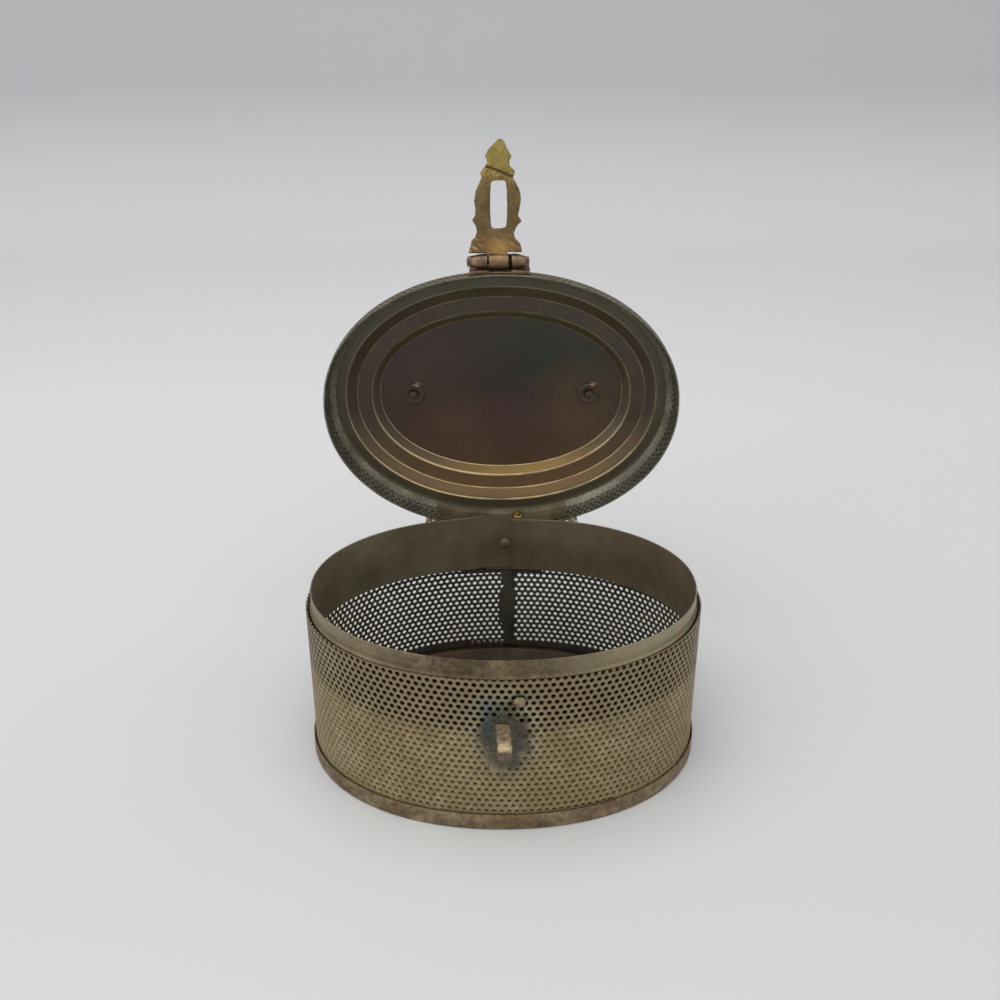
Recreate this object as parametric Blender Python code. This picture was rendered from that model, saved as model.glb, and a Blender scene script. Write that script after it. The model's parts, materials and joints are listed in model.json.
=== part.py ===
"""Oval brass trinket box: a perforated wall on a stamped tray, a collar, a hinged lid
with a hasp that drops over a staple, and a swinging handle.

Units are metres. +Z is up and the front faces -Y. The origin is the middle of the
floor's underside. The lid stands open, the hasp upright and the handle hanging.
"""

import math

import bmesh
import bpy
from mathutils import Matrix, Vector

# Sheet metal and fits
SHEET = 0.0004
FIT = 0.0003  # gap left between pieces that touch
OVERRUN = 0.001  # how far a cutter runs past what it cuts

# The oval of the wall's outer face
HALF_LENGTH = 0.0555
HALF_WIDTH = 0.0419
SQUARENESS = 2.08  # 2 would be an ellipse
OVAL_STEPS = 60

# Tray
BAND_HEIGHT = 0.005
TRAY_CORNER = 0.0006
RIDGE_HEIGHT = 0.0046
RIDGE_WIDTH = 0.0022
RIDGE_SLOPE = 0.0034
PANEL_LEAD = 0.001

# Wall and the strip inside its butted ends
WALL_TOP = 0.0472
SEAM_X = 0.0024
SEAM_STRIP_X = 0.0017
SEAM_STRIP_WIDTH = 0.0042

# Openings in the wall: a coarse grid that stands for the sheet's 1 mm holes
OPENING_COLUMNS = 24
OPENING_ROWS = 5
OPENING_RADIUS = 0.0021
OPENING_MARGIN = 0.0012
OPENING_SIDES = 8

# Collar inside the wall, stepped in where the lid slides over it
COLLAR_DEPTH = 0.0142
COLLAR_RISE = 0.0049
COLLAR_STEP = 0.0008
COLLAR_BEND = 0.0008
LAP_END = 0.003
LAP_START = -0.005
LAP_RAMP = 0.008
LAP_LIFT = 0.0008

# Rivets through wall and collar
RIVET_SHANK = 0.0006
RIVET_HEAD = 0.00155
RIVET_HEAD_HEIGHT = 0.0006
RIVET_TAIL = 0.001
RIVET_TAIL_HEIGHT = 0.0005
RIVET_STEPS = 16
FRONT_RIVET_X = 0.0035
FRONT_RIVET_DROP = 0.0061
BACK_RIVET_X = 0.001
BACK_RIVET_DROP = 0.0041
BACK_RIVET_HEAD_HEIGHT = 0.00035

# Latch: the staple on the wall and the hasp on the lid share a centre line
LATCH_X = -0.0006
STAPLE_WIDTH = 0.0036
STAPLE_HEIGHT = 0.0045
STAPLE_REACH = 0.0088
STAPLE_DROP = 0.0124  # from the wall's top to the staple's top face
STAPLE_LEAN = 0.0002
STAPLE_EDGE = 0.0004
SOLDER_HALF_WIDTH = 0.0040
SOLDER_HALF_HEIGHT = 0.0046
SOLDER_STEPS = 28

# Lid hinge: straight pin behind the curved wall
HINGE_STANDOFF = 0.0026
HINGE_DROP = 0.0076
HINGE_PIN_RADIUS = 0.0006
HINGE_LENGTH = 0.026
HINGE_MIDDLE = 0.0106
LOWER_LEAF_HEIGHT = 0.0086
LOWER_LEAF_BEND = 0.0032
CURL = math.radians(290)
CURL_STEPS = 10
TAB_WIDTH = 0.049
TAB_FOOT = 0.0017
TAB_FADE = 0.009
LEAF_STEPS = 18
OPEN_ANGLE = math.radians(90)

# Lid skirt: inset and height of its outer face above the wall's top
SKIRT_STRAIGHT = 0.0050
SKIRT_HEIGHT = 0.0091
SKIRT_INSET = 0.0026
SHOULDER_SHARES = ((0.28, 0.62), (0.56, 0.84), (1.0, 1.0))

# Lid top: two steps pressed up round a flat panel
TOP_SHOULDER_INSET = 0.0033
TOP_SHOULDER_HEIGHT = 0.0100
LOW_STEP_START = 0.0059
LOW_STEP_END = 0.0093
LOW_STEP_RISE = 0.0016
HIGH_STEP_START = 0.0140
HIGH_STEP_END = 0.0164
HIGH_STEP_RISE = 0.0022

# Plate inside the skirt that the hinge tab is riveted to
BACKING_WIDTH = 0.044
HINGE_RIVET_X = 0.0056

# Hasp and its bracket
HASP_PIN_RADIUS = 0.0008
HASP_KNUCKLE_RADIUS = 0.0024
HASP_STANDOFF = 0.0028
HASP_PIN_HEIGHT = 0.0047  # above the wall's top, lid closed
HASP_KNUCKLE_WIDTH = 0.0065
BRACKET_KNUCKLE_WIDTH = 0.0055
BRACKET_SHEET = 0.0008
BRACKET_FOOT = 0.0008
BRACKET_HEIGHT = 0.0068
HASP_PIN_HEAD = 0.0014
HASP_PIN_HEAD_HEIGHT = 0.0005
KNUCKLE_STEPS = 20
HASP_REACH = 0.0352
HASP_HALF_WIDTH = 0.0077
HASP_THICKNESS = 0.0018
HASP_BASE = 0.0029
HASP_TONGUE = 0.0017
SLOT_WIDTH = 0.0047
SLOT_START = 0.0101
SLOT_END = 0.0239
SLOT_ARC_STEPS = 5
# Half outline from the base to the tip: shares of the half width and of the reach
HASP_OUTLINE_SHARES = (
    (1.0, 0.082), (1.0, 0.175), (0.80, 0.205), (0.73, 0.230), (0.78, 0.275),
    (0.86, 0.325), (0.94, 0.358), (0.87, 0.385), (0.87, 0.430), (0.90, 0.505),
    (0.87, 0.590), (0.76, 0.665), (0.60, 0.715), (0.65, 0.744), (0.52, 0.772),
    (0.43, 0.810), (0.48, 0.875), (0.30, 0.930), (0.13, 0.975), (0.0, 1.0),
)

# Handle on the lid's panel
EAR_SPREAD_SHARE = 0.508  # of the oval's half length
EAR_RISE = 0.0032
EAR_FLANGE_RADIUS = 0.0030
EAR_FLANGE_HEIGHT = 0.0008
EAR_EYE_RADIUS = 0.0025
EAR_THICKNESS = 0.0024
EAR_SHANK = 0.0011
EAR_TAIL_HEIGHT = 0.0007
EAR_TAIL_RADIUS = 0.0014
EAR_STEPS = 18
WASHER_RADIUS = 0.0034
WASHER_THICKNESS = 0.0005
BAIL_RADIUS = 0.0012
BAIL_DEPTH = 0.0215
BAIL_FULLNESS = 0.8
BAIL_CORNER = 0.0022
BAIL_END = 0.0006
BAIL_ARC_STEPS = 24
BAIL_CORNER_STEPS = 4

# Finishes: colour, roughness
KHAKI_BRASS = ((0.265, 0.215, 0.120), 0.48)
DULL_COLLAR = ((0.190, 0.160, 0.100), 0.50)
BROWN_BAND = ((0.175, 0.130, 0.075), 0.46)
DARK_MESH = ((0.085, 0.078, 0.055), 0.55)
DARK_PLATE = ((0.085, 0.060, 0.035), 0.38)
YELLOW_CAST = ((0.300, 0.220, 0.090), 0.45)
WORN_STEM = ((0.170, 0.115, 0.055), 0.50)
PALE_RIVET = ((0.330, 0.270, 0.180), 0.40)
COPPERY_POST = ((0.400, 0.290, 0.175), 0.42)
GREY_SOLDER = ((0.085, 0.095, 0.080), 0.65)

# Places worked out from the sizes above
hinge_y = HALF_WIDTH + HINGE_STANDOFF
hinge_z = WALL_TOP - HINGE_DROP
hinge_bore = HINGE_PIN_RADIUS + FIT
curl_radius = hinge_bore + SHEET
hasp_pin_y = -(HALF_WIDTH + HASP_STANDOFF)
hasp_pin_z = WALL_TOP + HASP_PIN_HEIGHT
panel_top = WALL_TOP + TOP_SHOULDER_HEIGHT + LOW_STEP_RISE + HIGH_STEP_RISE
ear_axis_z = panel_top + EAR_RISE
ear_spread = HALF_LENGTH * EAR_SPREAD_SHARE
all_round = [2 * math.pi * k / OVAL_STEPS for k in range(OVAL_STEPS)]


def clear_scene():
    for obj in list(bpy.data.objects):
        bpy.data.objects.remove(obj, do_unlink=True)


def material(name, finish):
    colour, roughness = finish
    made = bpy.data.materials.new(name)
    made.use_nodes = True
    shader = made.node_tree.nodes["Principled BSDF"]
    shader.inputs["Base Color"].default_value = (*colour, 1.0)
    shader.inputs["Metallic"].default_value = 1.0
    shader.inputs["Roughness"].default_value = roughness
    made.diffuse_color = (*colour, 1.0)
    return made


def signed_power(value, power):
    return math.copysign(abs(value) ** power, value)


def oval_normal(x, y):
    across = signed_power(x / HALF_LENGTH, SQUARENESS - 1) / HALF_LENGTH
    along = signed_power(y / HALF_WIDTH, SQUARENESS - 1) / HALF_WIDTH
    return Vector((across, along)).normalized()


def oval_point(turn, inset):
    """A point of the wall's oval moved inwards, square to it."""
    x = HALF_LENGTH * signed_power(math.cos(turn), 2 / SQUARENESS)
    y = HALF_WIDTH * signed_power(math.sin(turn), 2 / SQUARENESS)
    return Vector((x, y)) - inset * oval_normal(x, y)


def back_turn(x):
    """The turn at which the oval's back half passes x."""
    return math.acos(signed_power(x / HALF_LENGTH, SQUARENESS / 2))


def wall_y(x):
    return HALF_WIDTH * (1 - abs(x / HALF_LENGTH) ** SQUARENESS) ** (1 / SQUARENESS)


def span(first, last, steps):
    return [first + (last - first) * k / steps for k in range(steps + 1)]


def smooth(share):
    share = min(1, max(0, share))
    return share * share * (3 - 2 * share)


def offset_path(path, distance):
    """The path moved to its left, with mitred corners."""
    moved = []
    for k, point in enumerate(path):
        before = path[max(k - 1, 0)]
        after = path[min(k + 1, len(path) - 1)]
        normals = []
        for start, end in ((before, point), (point, after)):
            if start != end:
                step = (Vector(end) - Vector(start)).normalized()
                normals.append(Vector((-step.y, step.x)))
        both = normals[0] + normals[-1]
        mitre = both / (1 + normals[0].dot(normals[-1]))
        if len(normals) == 1:
            mitre = normals[0]
        moved.append(tuple(Vector(point) + distance * mitre))
    return moved


def finish_mesh(name, mesh_data, finish, parent=None):
    """Makes the object, in world places, with its origin on its parent's axis."""
    bmesh.ops.recalc_face_normals(mesh_data, faces=mesh_data.faces)
    if parent:
        bmesh.ops.translate(mesh_data, verts=mesh_data.verts, vec=-Vector(parent["built_at"]))
    mesh = bpy.data.meshes.new(name)
    mesh_data.to_mesh(mesh)
    mesh_data.free()
    obj = bpy.data.objects.new(name, mesh)
    bpy.context.scene.collection.objects.link(obj)
    obj.parent = parent
    if finish:
        mesh.materials.append(material(name, finish))
        mesh.shade_smooth()
        mesh.set_sharp_from_angle(angle=math.radians(35))
    return obj


def add_loft(target, sections, path_closed, profile_closed):
    """Skins the sections. An open path gets end caps, and an open profile gets lids."""
    rows = [[target.verts.new(point) for point in section] for section in sections]
    path_count = len(rows) if path_closed else len(rows) - 1
    profile_count = len(rows[0]) if profile_closed else len(rows[0]) - 1
    for i in range(path_count):
        here = rows[i]
        there = rows[(i + 1) % len(rows)]
        for j in range(profile_count):
            k = (j + 1) % len(here)
            target.faces.new((here[j], there[j], there[k], here[k]))
    if not path_closed:
        target.faces.new(rows[0])
        target.faces.new(rows[-1])
    if not profile_closed:
        target.faces.new([row[0] for row in rows])
        target.faces.new([row[-1] for row in rows])


def loft(name, sections, finish, path_closed=True, profile_closed=True, parent=None):
    made = bmesh.new()
    add_loft(made, sections, path_closed, profile_closed)
    return finish_mesh(name, made, finish, parent)


def oval_sections(profile, turns):
    return [
        [Vector((*oval_point(turn, inset), z)) for inset, z in profile] for turn in turns
    ]


def turned(profile, steps, place, axis):
    """A solid of revolution. The profile gives radius and distance along the axis."""
    made = bmesh.new()
    turn_to = Vector((0, 0, 1)).rotation_difference(Vector(axis)).to_matrix().to_4x4()
    rings = []
    for radius, along in profile:
        if radius == 0:
            rings.append([made.verts.new((0, 0, along))])
            continue
        ring = []
        for k in range(steps):
            angle = 2 * math.pi * k / steps
            ring.append(made.verts.new((radius * math.cos(angle), radius * math.sin(angle), along)))
        rings.append(ring)
    for low, high in zip(rings, rings[1:]):
        for k in range(steps):
            n = (k + 1) % steps
            corners = [low[k % len(low)], low[n % len(low)], high[n % len(high)], high[k % len(high)]]
            made.faces.new(list(dict.fromkeys(corners)))
    made.transform(Matrix.Translation(place) @ turn_to)
    return made


def joined(first, second):
    """Adds the second mesh's shapes to the first, for a later Boolean or as one shape."""
    spare = bpy.data.meshes.new("spare")
    second.to_mesh(spare)
    second.free()
    first.from_mesh(spare)
    bpy.data.meshes.remove(spare)


def cutter(name, mesh_data, parent=None):
    obj = finish_mesh(name, mesh_data, None, parent)
    obj.hide_render = True
    obj.display_type = "WIRE"
    return obj


def boolean(obj, tool, operation="DIFFERENCE"):
    modifier = obj.modifiers.new(tool.name, "BOOLEAN")
    modifier.operation = operation
    modifier.object = tool


def box(low, high):
    made = bmesh.new()
    bmesh.ops.create_cube(made, size=1)
    size = Vector(high) - Vector(low)
    centre = (Vector(high) + Vector(low)) / 2
    made.transform(Matrix.Translation(centre) @ Matrix.Diagonal((*size, 1)))
    return made


def axis_empty(name, built_at, parent=None, turn=0):
    """An empty on a joint's axis. built_at is its place while the lid is shut."""
    empty = bpy.data.objects.new(name, None)
    bpy.context.scene.collection.objects.link(empty)
    empty.parent = parent
    start = Vector(parent["built_at"]) if parent else Vector()
    empty.location = Vector(built_at) - start
    empty.rotation_euler.x = turn
    empty["built_at"] = tuple(built_at)
    return empty


def sheet_profile(path):
    """A closed section: the path and the same path one sheet thickness to its left."""
    return list(path) + offset_path(path, SHEET)[::-1]


# Tray: band outside the wall, channel under it, ridge inside, flat panel
def make_tray():
    band = FIT + SHEET
    riser = 2 * SHEET + FIT
    under_ridge = RIDGE_HEIGHT - SHEET
    crest = riser + RIDGE_WIDTH
    panel = crest + RIDGE_SLOPE
    path = [
        (-band, BAND_HEIGHT),
        (-band, TRAY_CORNER),
        (-band + TRAY_CORNER, 0),
        (riser, 0),
        (riser, under_ridge),
        (crest, under_ridge),
        (panel, 0),
        (panel + PANEL_LEAD, 0),
    ]
    profile = offset_path(path, SHEET)[::-1] + path
    sections = oval_sections(profile, all_round)
    return loft("base_tray", sections, BROWN_BAND, profile_closed=False)


# Wall: one strip rolled to the oval, its ends butted at the back
def opening_is_clear(place):
    """Openings keep off the seam strip at the back and the solder pad at the front."""
    reach = OPENING_RADIUS + OPENING_MARGIN
    if place.y > 0:
        return abs(place.x - SEAM_STRIP_X) > SEAM_STRIP_WIDTH / 2 + reach
    pad_low = WALL_TOP - STAPLE_DROP - STAPLE_HEIGHT / 2 - SOLDER_HALF_HEIGHT
    beside = abs(place.x - LATCH_X) > SOLDER_HALF_WIDTH + reach
    return beside or place.z < pad_low - reach


def wall_openings():
    """One cutter with a staggered grid of short bars square to the wall."""
    reach = OPENING_RADIUS + OPENING_MARGIN
    rows = span(BAND_HEIGHT + reach, WALL_TOP - COLLAR_DEPTH - reach, OPENING_ROWS - 1)
    bar = [
        (0, OVERRUN),
        (OPENING_RADIUS, OVERRUN),
        (OPENING_RADIUS, -SHEET - OVERRUN),
        (0, -SHEET - OVERRUN),
    ]
    bars = bmesh.new()
    for row, z in enumerate(rows):
        for column in range(OPENING_COLUMNS):
            turn = 2 * math.pi * (column + row % 2 / 2) / OPENING_COLUMNS
            place = Vector((*oval_point(turn, 0), z))
            if opening_is_clear(place):
                out = Vector((*oval_normal(place.x, place.y), 0))
                joined(bars, turned(bar, OPENING_SIDES, place, out))
    return cutter("wall_openings", bars)


def make_wall(holes):
    first = back_turn(SEAM_X - FIT / 2)
    last = back_turn(SEAM_X + FIT / 2) + 2 * math.pi
    turns = span(first, last, OVAL_STEPS)
    profile = [(0, SHEET + FIT), (0, WALL_TOP), (SHEET, WALL_TOP), (SHEET, SHEET + FIT)]
    wall = loft("perforated_wall", oval_sections(profile, turns), KHAKI_BRASS, path_closed=False)
    for hole in holes:
        boolean(wall, hole)
    return wall


def make_seam_strip():
    outer = SHEET + FIT
    low = RIDGE_HEIGHT + FIT
    high = WALL_TOP - COLLAR_DEPTH - FIT
    half = SEAM_STRIP_WIDTH / 2
    turns = span(back_turn(SEAM_STRIP_X + half), back_turn(SEAM_STRIP_X - half), 2)
    profile = [(outer, low), (outer, high), (outer + SHEET, high), (outer + SHEET, low)]
    return loft("wall_seam_strip", oval_sections(profile, turns), DARK_MESH, path_closed=False)


# Collar: a plain strip whose ends lap at the back
def make_collar(holes):
    outer = SHEET + FIT
    stepped = outer + COLLAR_STEP
    low = WALL_TOP - COLLAR_DEPTH
    bend_low = WALL_TOP - COLLAR_BEND
    bend_high = WALL_TOP + COLLAR_BEND / 2
    rim = WALL_TOP + COLLAR_RISE
    path = [(stepped, rim), (stepped, bend_high), (outer, bend_low), (outer, low)]
    profile = sheet_profile(path)
    first = back_turn(LAP_START)
    last = back_turn(LAP_END) - 2 * math.pi
    meet = first - 2 * math.pi
    ramp = back_turn(LAP_START - LAP_RAMP) - 2 * math.pi
    turns = span(first, ramp, OVAL_STEPS) + span(ramp, last, 6)[1:]
    sections = []
    for turn in turns:
        share = smooth((ramp - turn) / (ramp - meet))
        shifted = [(inset + share * (SHEET + FIT), z + share * LAP_LIFT) for inset, z in profile]
        sections += oval_sections(shifted, [turn])
    collar = loft("inner_collar", sections, DULL_COLLAR, path_closed=False)
    for hole in holes:
        boolean(collar, hole)
    return collar


# Rivets
def rivet_profile(head, head_height, shank, grip, tail, tail_height):
    """Head above zero, shank down through the grip, tail below it."""
    return [
        (0, head_height),
        (head * 0.6, head_height * 0.85),
        (head, head_height * 0.3),
        (head, 0),
        (shank, 0),
        (shank, -grip),
        (tail, -grip),
        (tail * 0.8, -grip - tail_height * 0.8),
        (0, -grip - tail_height),
    ]


def wall_rivet(name, x, drop, side, layers, head_height):
    """side is -1 at the front and 1 at the back. layers are the sheets it holds."""
    z = WALL_TOP - drop
    face = Vector((x, side * wall_y(x), z))
    out = Vector((*oval_normal(face.x, face.y), 0))
    grip = layers * (SHEET + FIT) + FIT
    profile = rivet_profile(
        RIVET_HEAD, head_height, RIVET_SHANK, grip, RIVET_TAIL, RIVET_TAIL_HEIGHT
    )
    place = face + FIT * out
    finish_mesh(name, turned(profile, RIVET_STEPS, place, out), PALE_RIVET)
    hole = RIVET_SHANK + FIT
    cut = [(0, OVERRUN), (hole, OVERRUN), (hole, -grip - OVERRUN), (0, -grip - OVERRUN)]
    return cutter(name + "_hole", turned(cut, RIVET_STEPS, place, out))


# Staple: a post on the wall that the hasp drops over
def make_staple():
    low = WALL_TOP - STAPLE_DROP - STAPLE_HEIGHT
    high = WALL_TOP - STAPLE_DROP
    back = -(wall_y(LATCH_X) + FIT + SHEET + FIT)
    front = back - STAPLE_REACH
    half = STAPLE_WIDTH / 2
    sections = []
    for y, pinch in ((back, 0), (front + STAPLE_EDGE, 0), (front, STAPLE_EDGE)):
        lean = STAPLE_LEAN * (back - y) / STAPLE_REACH
        left = LATCH_X + lean - half + pinch
        right = LATCH_X + lean + half - pinch
        sections.append(
            [
                Vector((left, y, low + pinch)),
                Vector((right, y, low + pinch)),
                Vector((right, y, high - pinch)),
                Vector((left, y, high - pinch)),
            ]
        )
    return loft("staple_post", sections, COPPERY_POST, path_closed=False)


def make_staple_solder():
    """A pad of solder that follows the wall under the post."""
    middle = WALL_TOP - STAPLE_DROP - STAPLE_HEIGHT / 2
    made = bmesh.new()
    rings = []
    for out in (FIT, FIT + SHEET):
        ring = []
        for k in range(SOLDER_STEPS):
            angle = 2 * math.pi * k / SOLDER_STEPS
            x = LATCH_X + SOLDER_HALF_WIDTH * math.cos(angle)
            z = middle + SOLDER_HALF_HEIGHT * math.sin(angle)
            ring.append(made.verts.new((x, -wall_y(x) - out, z)))
        rings.append(ring)
    centres = [
        made.verts.new((LATCH_X, -wall_y(LATCH_X) - out, middle)) for out in (FIT, FIT + SHEET)
    ]
    for k in range(SOLDER_STEPS):
        n = (k + 1) % SOLDER_STEPS
        made.faces.new((rings[0][k], rings[0][n], rings[1][n], rings[1][k]))
        made.faces.new((centres[0], rings[0][k], rings[0][n]))
        made.faces.new((centres[1], rings[1][n], rings[1][k]))
    return finish_mesh("staple_solder", made, GREY_SOLDER)


# Hinge leaves: sheet that follows the wall, then rolls round the straight pin
def leaf_section(x, path, bulge, side):
    """path is the leaf's near face down to its bend, and side is 1 if it lies above the pin."""
    lean = oval_normal(x, wall_y(x)).y
    facing = [Vector((x, wall_y(x) - inset / lean, z)) for inset, z in path]
    away = offset_path(path, -side * SHEET)
    behind = [Vector((x, wall_y(x) - inset / lean, z)) for inset, z in away]
    reach = (hinge_y - curl_radius - facing[-1].y) * bulge
    foot = Vector((0, reach, hinge_z + side * TAB_FOOT - facing[-1].z))
    facing.append(facing[-1] + foot)
    behind.append(behind[-1] + foot)
    for angle in span(math.pi, math.pi + side * CURL, CURL_STEPS):
        ray = Vector((0, math.cos(angle), math.sin(angle)))
        pin = Vector((x, hinge_y, hinge_z))
        facing.append(pin + curl_radius * ray)
        behind.append(pin + hinge_bore * ray)
    return facing + behind[::-1]


def make_lower_leaf():
    half = HINGE_LENGTH / 2
    path = [(-FIT, hinge_z - LOWER_LEAF_HEIGHT), (-FIT, hinge_z - LOWER_LEAF_BEND)]
    sections = [leaf_section(x, path, 1, -1) for x in span(-half, half, LEAF_STEPS)]
    leaf = loft("lower_hinge_leaf", sections, DULL_COLLAR, path_closed=False)
    side = HINGE_MIDDLE / 2 + FIT
    low = hinge_z - curl_radius - 2 * FIT
    high = hinge_z + curl_radius + OVERRUN
    notch = box((-side, HALF_WIDTH - OVERRUN, low), (side, hinge_y + curl_radius + OVERRUN, high))
    boolean(leaf, cutter("lower_leaf_notch", notch))
    return leaf


def make_upper_leaf(lid, rivet_hole):
    half = TAB_WIDTH / 2
    path = [*offset_path(skirt_path(), -FIT)[2:4], (-FIT, WALL_TOP)]
    sections = []
    for x in span(-half, half, 2 * LEAF_STEPS):
        bulge = 1 - smooth((abs(x) - HINGE_MIDDLE / 2 - FIT) / TAB_FADE)
        sections.append(leaf_section(x, path, bulge, 1))
    leaf = loft("upper_hinge_leaf", sections, DARK_MESH, path_closed=False, parent=lid)
    leaf.modifiers.new("flat_faces", "TRIANGULATE")  # its twisted faces must be flat to be cut
    for name, way in (("left", -1), ("right", 1)):
        near = way * HINGE_MIDDLE / 2
        far = way * (half + OVERRUN)
        low = (min(near, far), wall_y(half) - OVERRUN, hinge_z - curl_radius - OVERRUN)
        high = (max(near, far), hinge_y + curl_radius + OVERRUN, hinge_z + TAB_FOOT + SHEET)
        boolean(leaf, cutter("upper_leaf_notch_" + name, box(low, high), lid))
    boolean(leaf, rivet_hole)
    return leaf


def make_hinge_pin():
    length = HINGE_LENGTH + 2 * FIT
    radius = HINGE_PIN_RADIUS
    profile = [(0, 0), (radius, 0), (radius, length), (0, length)]
    place = Vector((-length / 2, hinge_y, hinge_z))
    return finish_mesh("hinge_pin", turned(profile, RIVET_STEPS, place, (1, 0, 0)), PALE_RIVET)


# Lid skirt and the plate inside it at the hinge
def skirt_path():
    """The skirt's outer face from its shoulder down to its edge."""
    bottom = WALL_TOP + FIT
    straight = WALL_TOP + SKIRT_STRAIGHT
    path = [(0, bottom), (0, straight)]
    for inset_share, height_share in SHOULDER_SHARES:
        rise = (SKIRT_HEIGHT - SKIRT_STRAIGHT) * height_share
        path.append((SKIRT_INSET * inset_share, straight + rise))
    return path[::-1]


def make_skirt(lid, rivet_hole):
    profile = sheet_profile(skirt_path())
    skirt = loft("lid_skirt", oval_sections(profile, all_round), DARK_MESH, parent=lid)
    boolean(skirt, rivet_hole)
    return skirt


def make_backing_plate(lid, rivet_hole):
    path = offset_path(skirt_path(), SHEET + FIT)
    path[-1] = (path[-1][0], WALL_TOP + 2 * FIT)
    half = BACKING_WIDTH / 2
    turns = span(back_turn(half), back_turn(-half), LEAF_STEPS)
    sections = oval_sections(sheet_profile(path[1:]), turns)
    plate = loft("hinge_backing_plate", sections, BROWN_BAND, path_closed=False, parent=lid)
    boolean(plate, rivet_hole)
    return plate


def hinge_rivet_place():
    """The middle of the skirt's first shoulder facet, and the way that faces out."""
    path = skirt_path()
    upper, lower = path[-3], path[-2]
    inset = (upper[0] + lower[0]) / 2
    z = (upper[1] + lower[1]) / 2
    turn = back_turn(HINGE_RIVET_X)
    face = Vector((*oval_point(turn, inset), z))
    flat = Vector((*oval_normal(face.x, face.y), 0))
    rise = Vector((lower[0] - upper[0], lower[1] - upper[1]))
    out = (-rise.y * flat - rise.x * Vector((0, 0, 1))).normalized()
    return face, out


def make_hinge_rivet(lid):
    face, out = hinge_rivet_place()
    grip = 3 * (SHEET + FIT) + FIT
    profile = rivet_profile(
        RIVET_TAIL, RIVET_TAIL_HEIGHT, RIVET_SHANK, grip, RIVET_TAIL, RIVET_TAIL_HEIGHT
    )
    place = face + (FIT + SHEET + FIT) * out
    finish_mesh("upper_hinge_rivet", turned(profile, RIVET_STEPS, place, out), PALE_RIVET, lid)
    hole = RIVET_SHANK + FIT
    cut = [(0, OVERRUN), (hole, OVERRUN), (hole, -grip - OVERRUN), (0, -grip - OVERRUN)]
    return cutter("upper_hinge_rivet_hole", turned(cut, RIVET_STEPS, place, out), lid)


# Lid top: rim over the skirt's shoulder, two steps, flat panel
def make_top_plate(lid, holes):
    shoulder = WALL_TOP + TOP_SHOULDER_HEIGHT
    landing = shoulder + LOW_STEP_RISE
    rim = offset_path(skirt_path(), -(SHEET + FIT))[:2]
    path = [
        (HIGH_STEP_END + PANEL_LEAD, panel_top),
        (HIGH_STEP_END, panel_top),
        (HIGH_STEP_START, landing),
        (LOW_STEP_END, landing),
        (LOW_STEP_START, shoulder),
        (TOP_SHOULDER_INSET, shoulder),
        *rim,
    ]
    profile = sheet_profile(path)
    sections = oval_sections(profile, all_round)
    plate = loft("lid_top_plate", sections, DARK_PLATE, profile_closed=False, parent=lid)
    for hole in holes:
        boolean(plate, hole)
    return plate


# Hasp: bracket knuckles on the lid, pin, and the cast hasp
def knuckle(first, last, radius, bore):
    """A tube along X between two places, round the hasp's pin."""
    made = bmesh.new()
    rings = []
    for x, r in ((first, bore), (first, radius), (last, radius), (last, bore)):
        ring = []
        for k in range(KNUCKLE_STEPS):
            angle = 2 * math.pi * k / KNUCKLE_STEPS
            y = hasp_pin_y + r * math.cos(angle)
            z = hasp_pin_z + r * math.sin(angle)
            ring.append(made.verts.new((x, y, z)))
        rings.append(ring)
    for a, b in zip(rings, rings[1:] + rings[:1]):
        for k in range(KNUCKLE_STEPS):
            n = (k + 1) % KNUCKLE_STEPS
            made.faces.new((a[k], a[n], b[n], b[k]))
    bmesh.ops.recalc_face_normals(made, faces=made.faces)
    return made


def make_bracket(lid):
    bore = HASP_PIN_RADIUS + FIT
    inner = HASP_KNUCKLE_WIDTH / 2 + FIT
    outer = inner + BRACKET_KNUCKLE_WIDTH
    low = WALL_TOP + BRACKET_FOOT
    high = low + BRACKET_HEIGHT
    sections = []
    for x in span(LATCH_X - outer, LATCH_X + outer, LEAF_STEPS):
        near = -(wall_y(x) + FIT)
        far = near - BRACKET_SHEET
        sections.append(
            [Vector((x, near, low)), Vector((x, near, high)), Vector((x, far, high)), Vector((x, far, low))]
        )
    bracket = loft("hasp_bracket", sections, WORN_STEM, path_closed=False, parent=lid)
    for name, way in (("left", -1), ("right", 1)):
        ends = sorted((LATCH_X + way * inner, LATCH_X + way * outer))
        tube = knuckle(ends[0], ends[1], HASP_KNUCKLE_RADIUS, bore)
        boolean(bracket, cutter("bracket_knuckle_" + name, tube, lid), "UNION")
    room = HASP_KNUCKLE_RADIUS + FIT
    clear = turned(
        [(0, 0), (room, 0), (room, 2 * inner), (0, 2 * inner)],
        KNUCKLE_STEPS,
        Vector((LATCH_X - inner, hasp_pin_y, hasp_pin_z)),
        (1, 0, 0),
    )
    boolean(bracket, cutter("bracket_room", clear, lid))
    return bracket


def make_hasp_pin(lid):
    half = HASP_KNUCKLE_WIDTH / 2 + BRACKET_KNUCKLE_WIDTH + 2 * FIT
    head = HASP_PIN_HEAD
    cap = HASP_PIN_HEAD_HEIGHT
    radius = HASP_PIN_RADIUS
    profile = [
        (0, -half - cap),
        (head * 0.7, -half - cap * 0.8),
        (head, -half),
        (radius, -half),
        (radius, half),
        (head, half),
        (head * 0.7, half + cap * 0.8),
        (0, half + cap),
    ]
    place = Vector((LATCH_X, hasp_pin_y, hasp_pin_z))
    return finish_mesh("hasp_pin", turned(profile, RIVET_STEPS, place, (1, 0, 0)), PALE_RIVET, lid)


def slot_outline():
    """A slot with round ends, as distance across and distance from the pin."""
    radius = SLOT_WIDTH / 2
    points = []
    for centre, start in ((SLOT_END - radius, 0), (SLOT_START + radius, math.pi)):
        for angle in span(start, start + math.pi, SLOT_ARC_STEPS):
            points.append((radius * math.cos(angle), centre + radius * math.sin(angle)))
    return points


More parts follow.
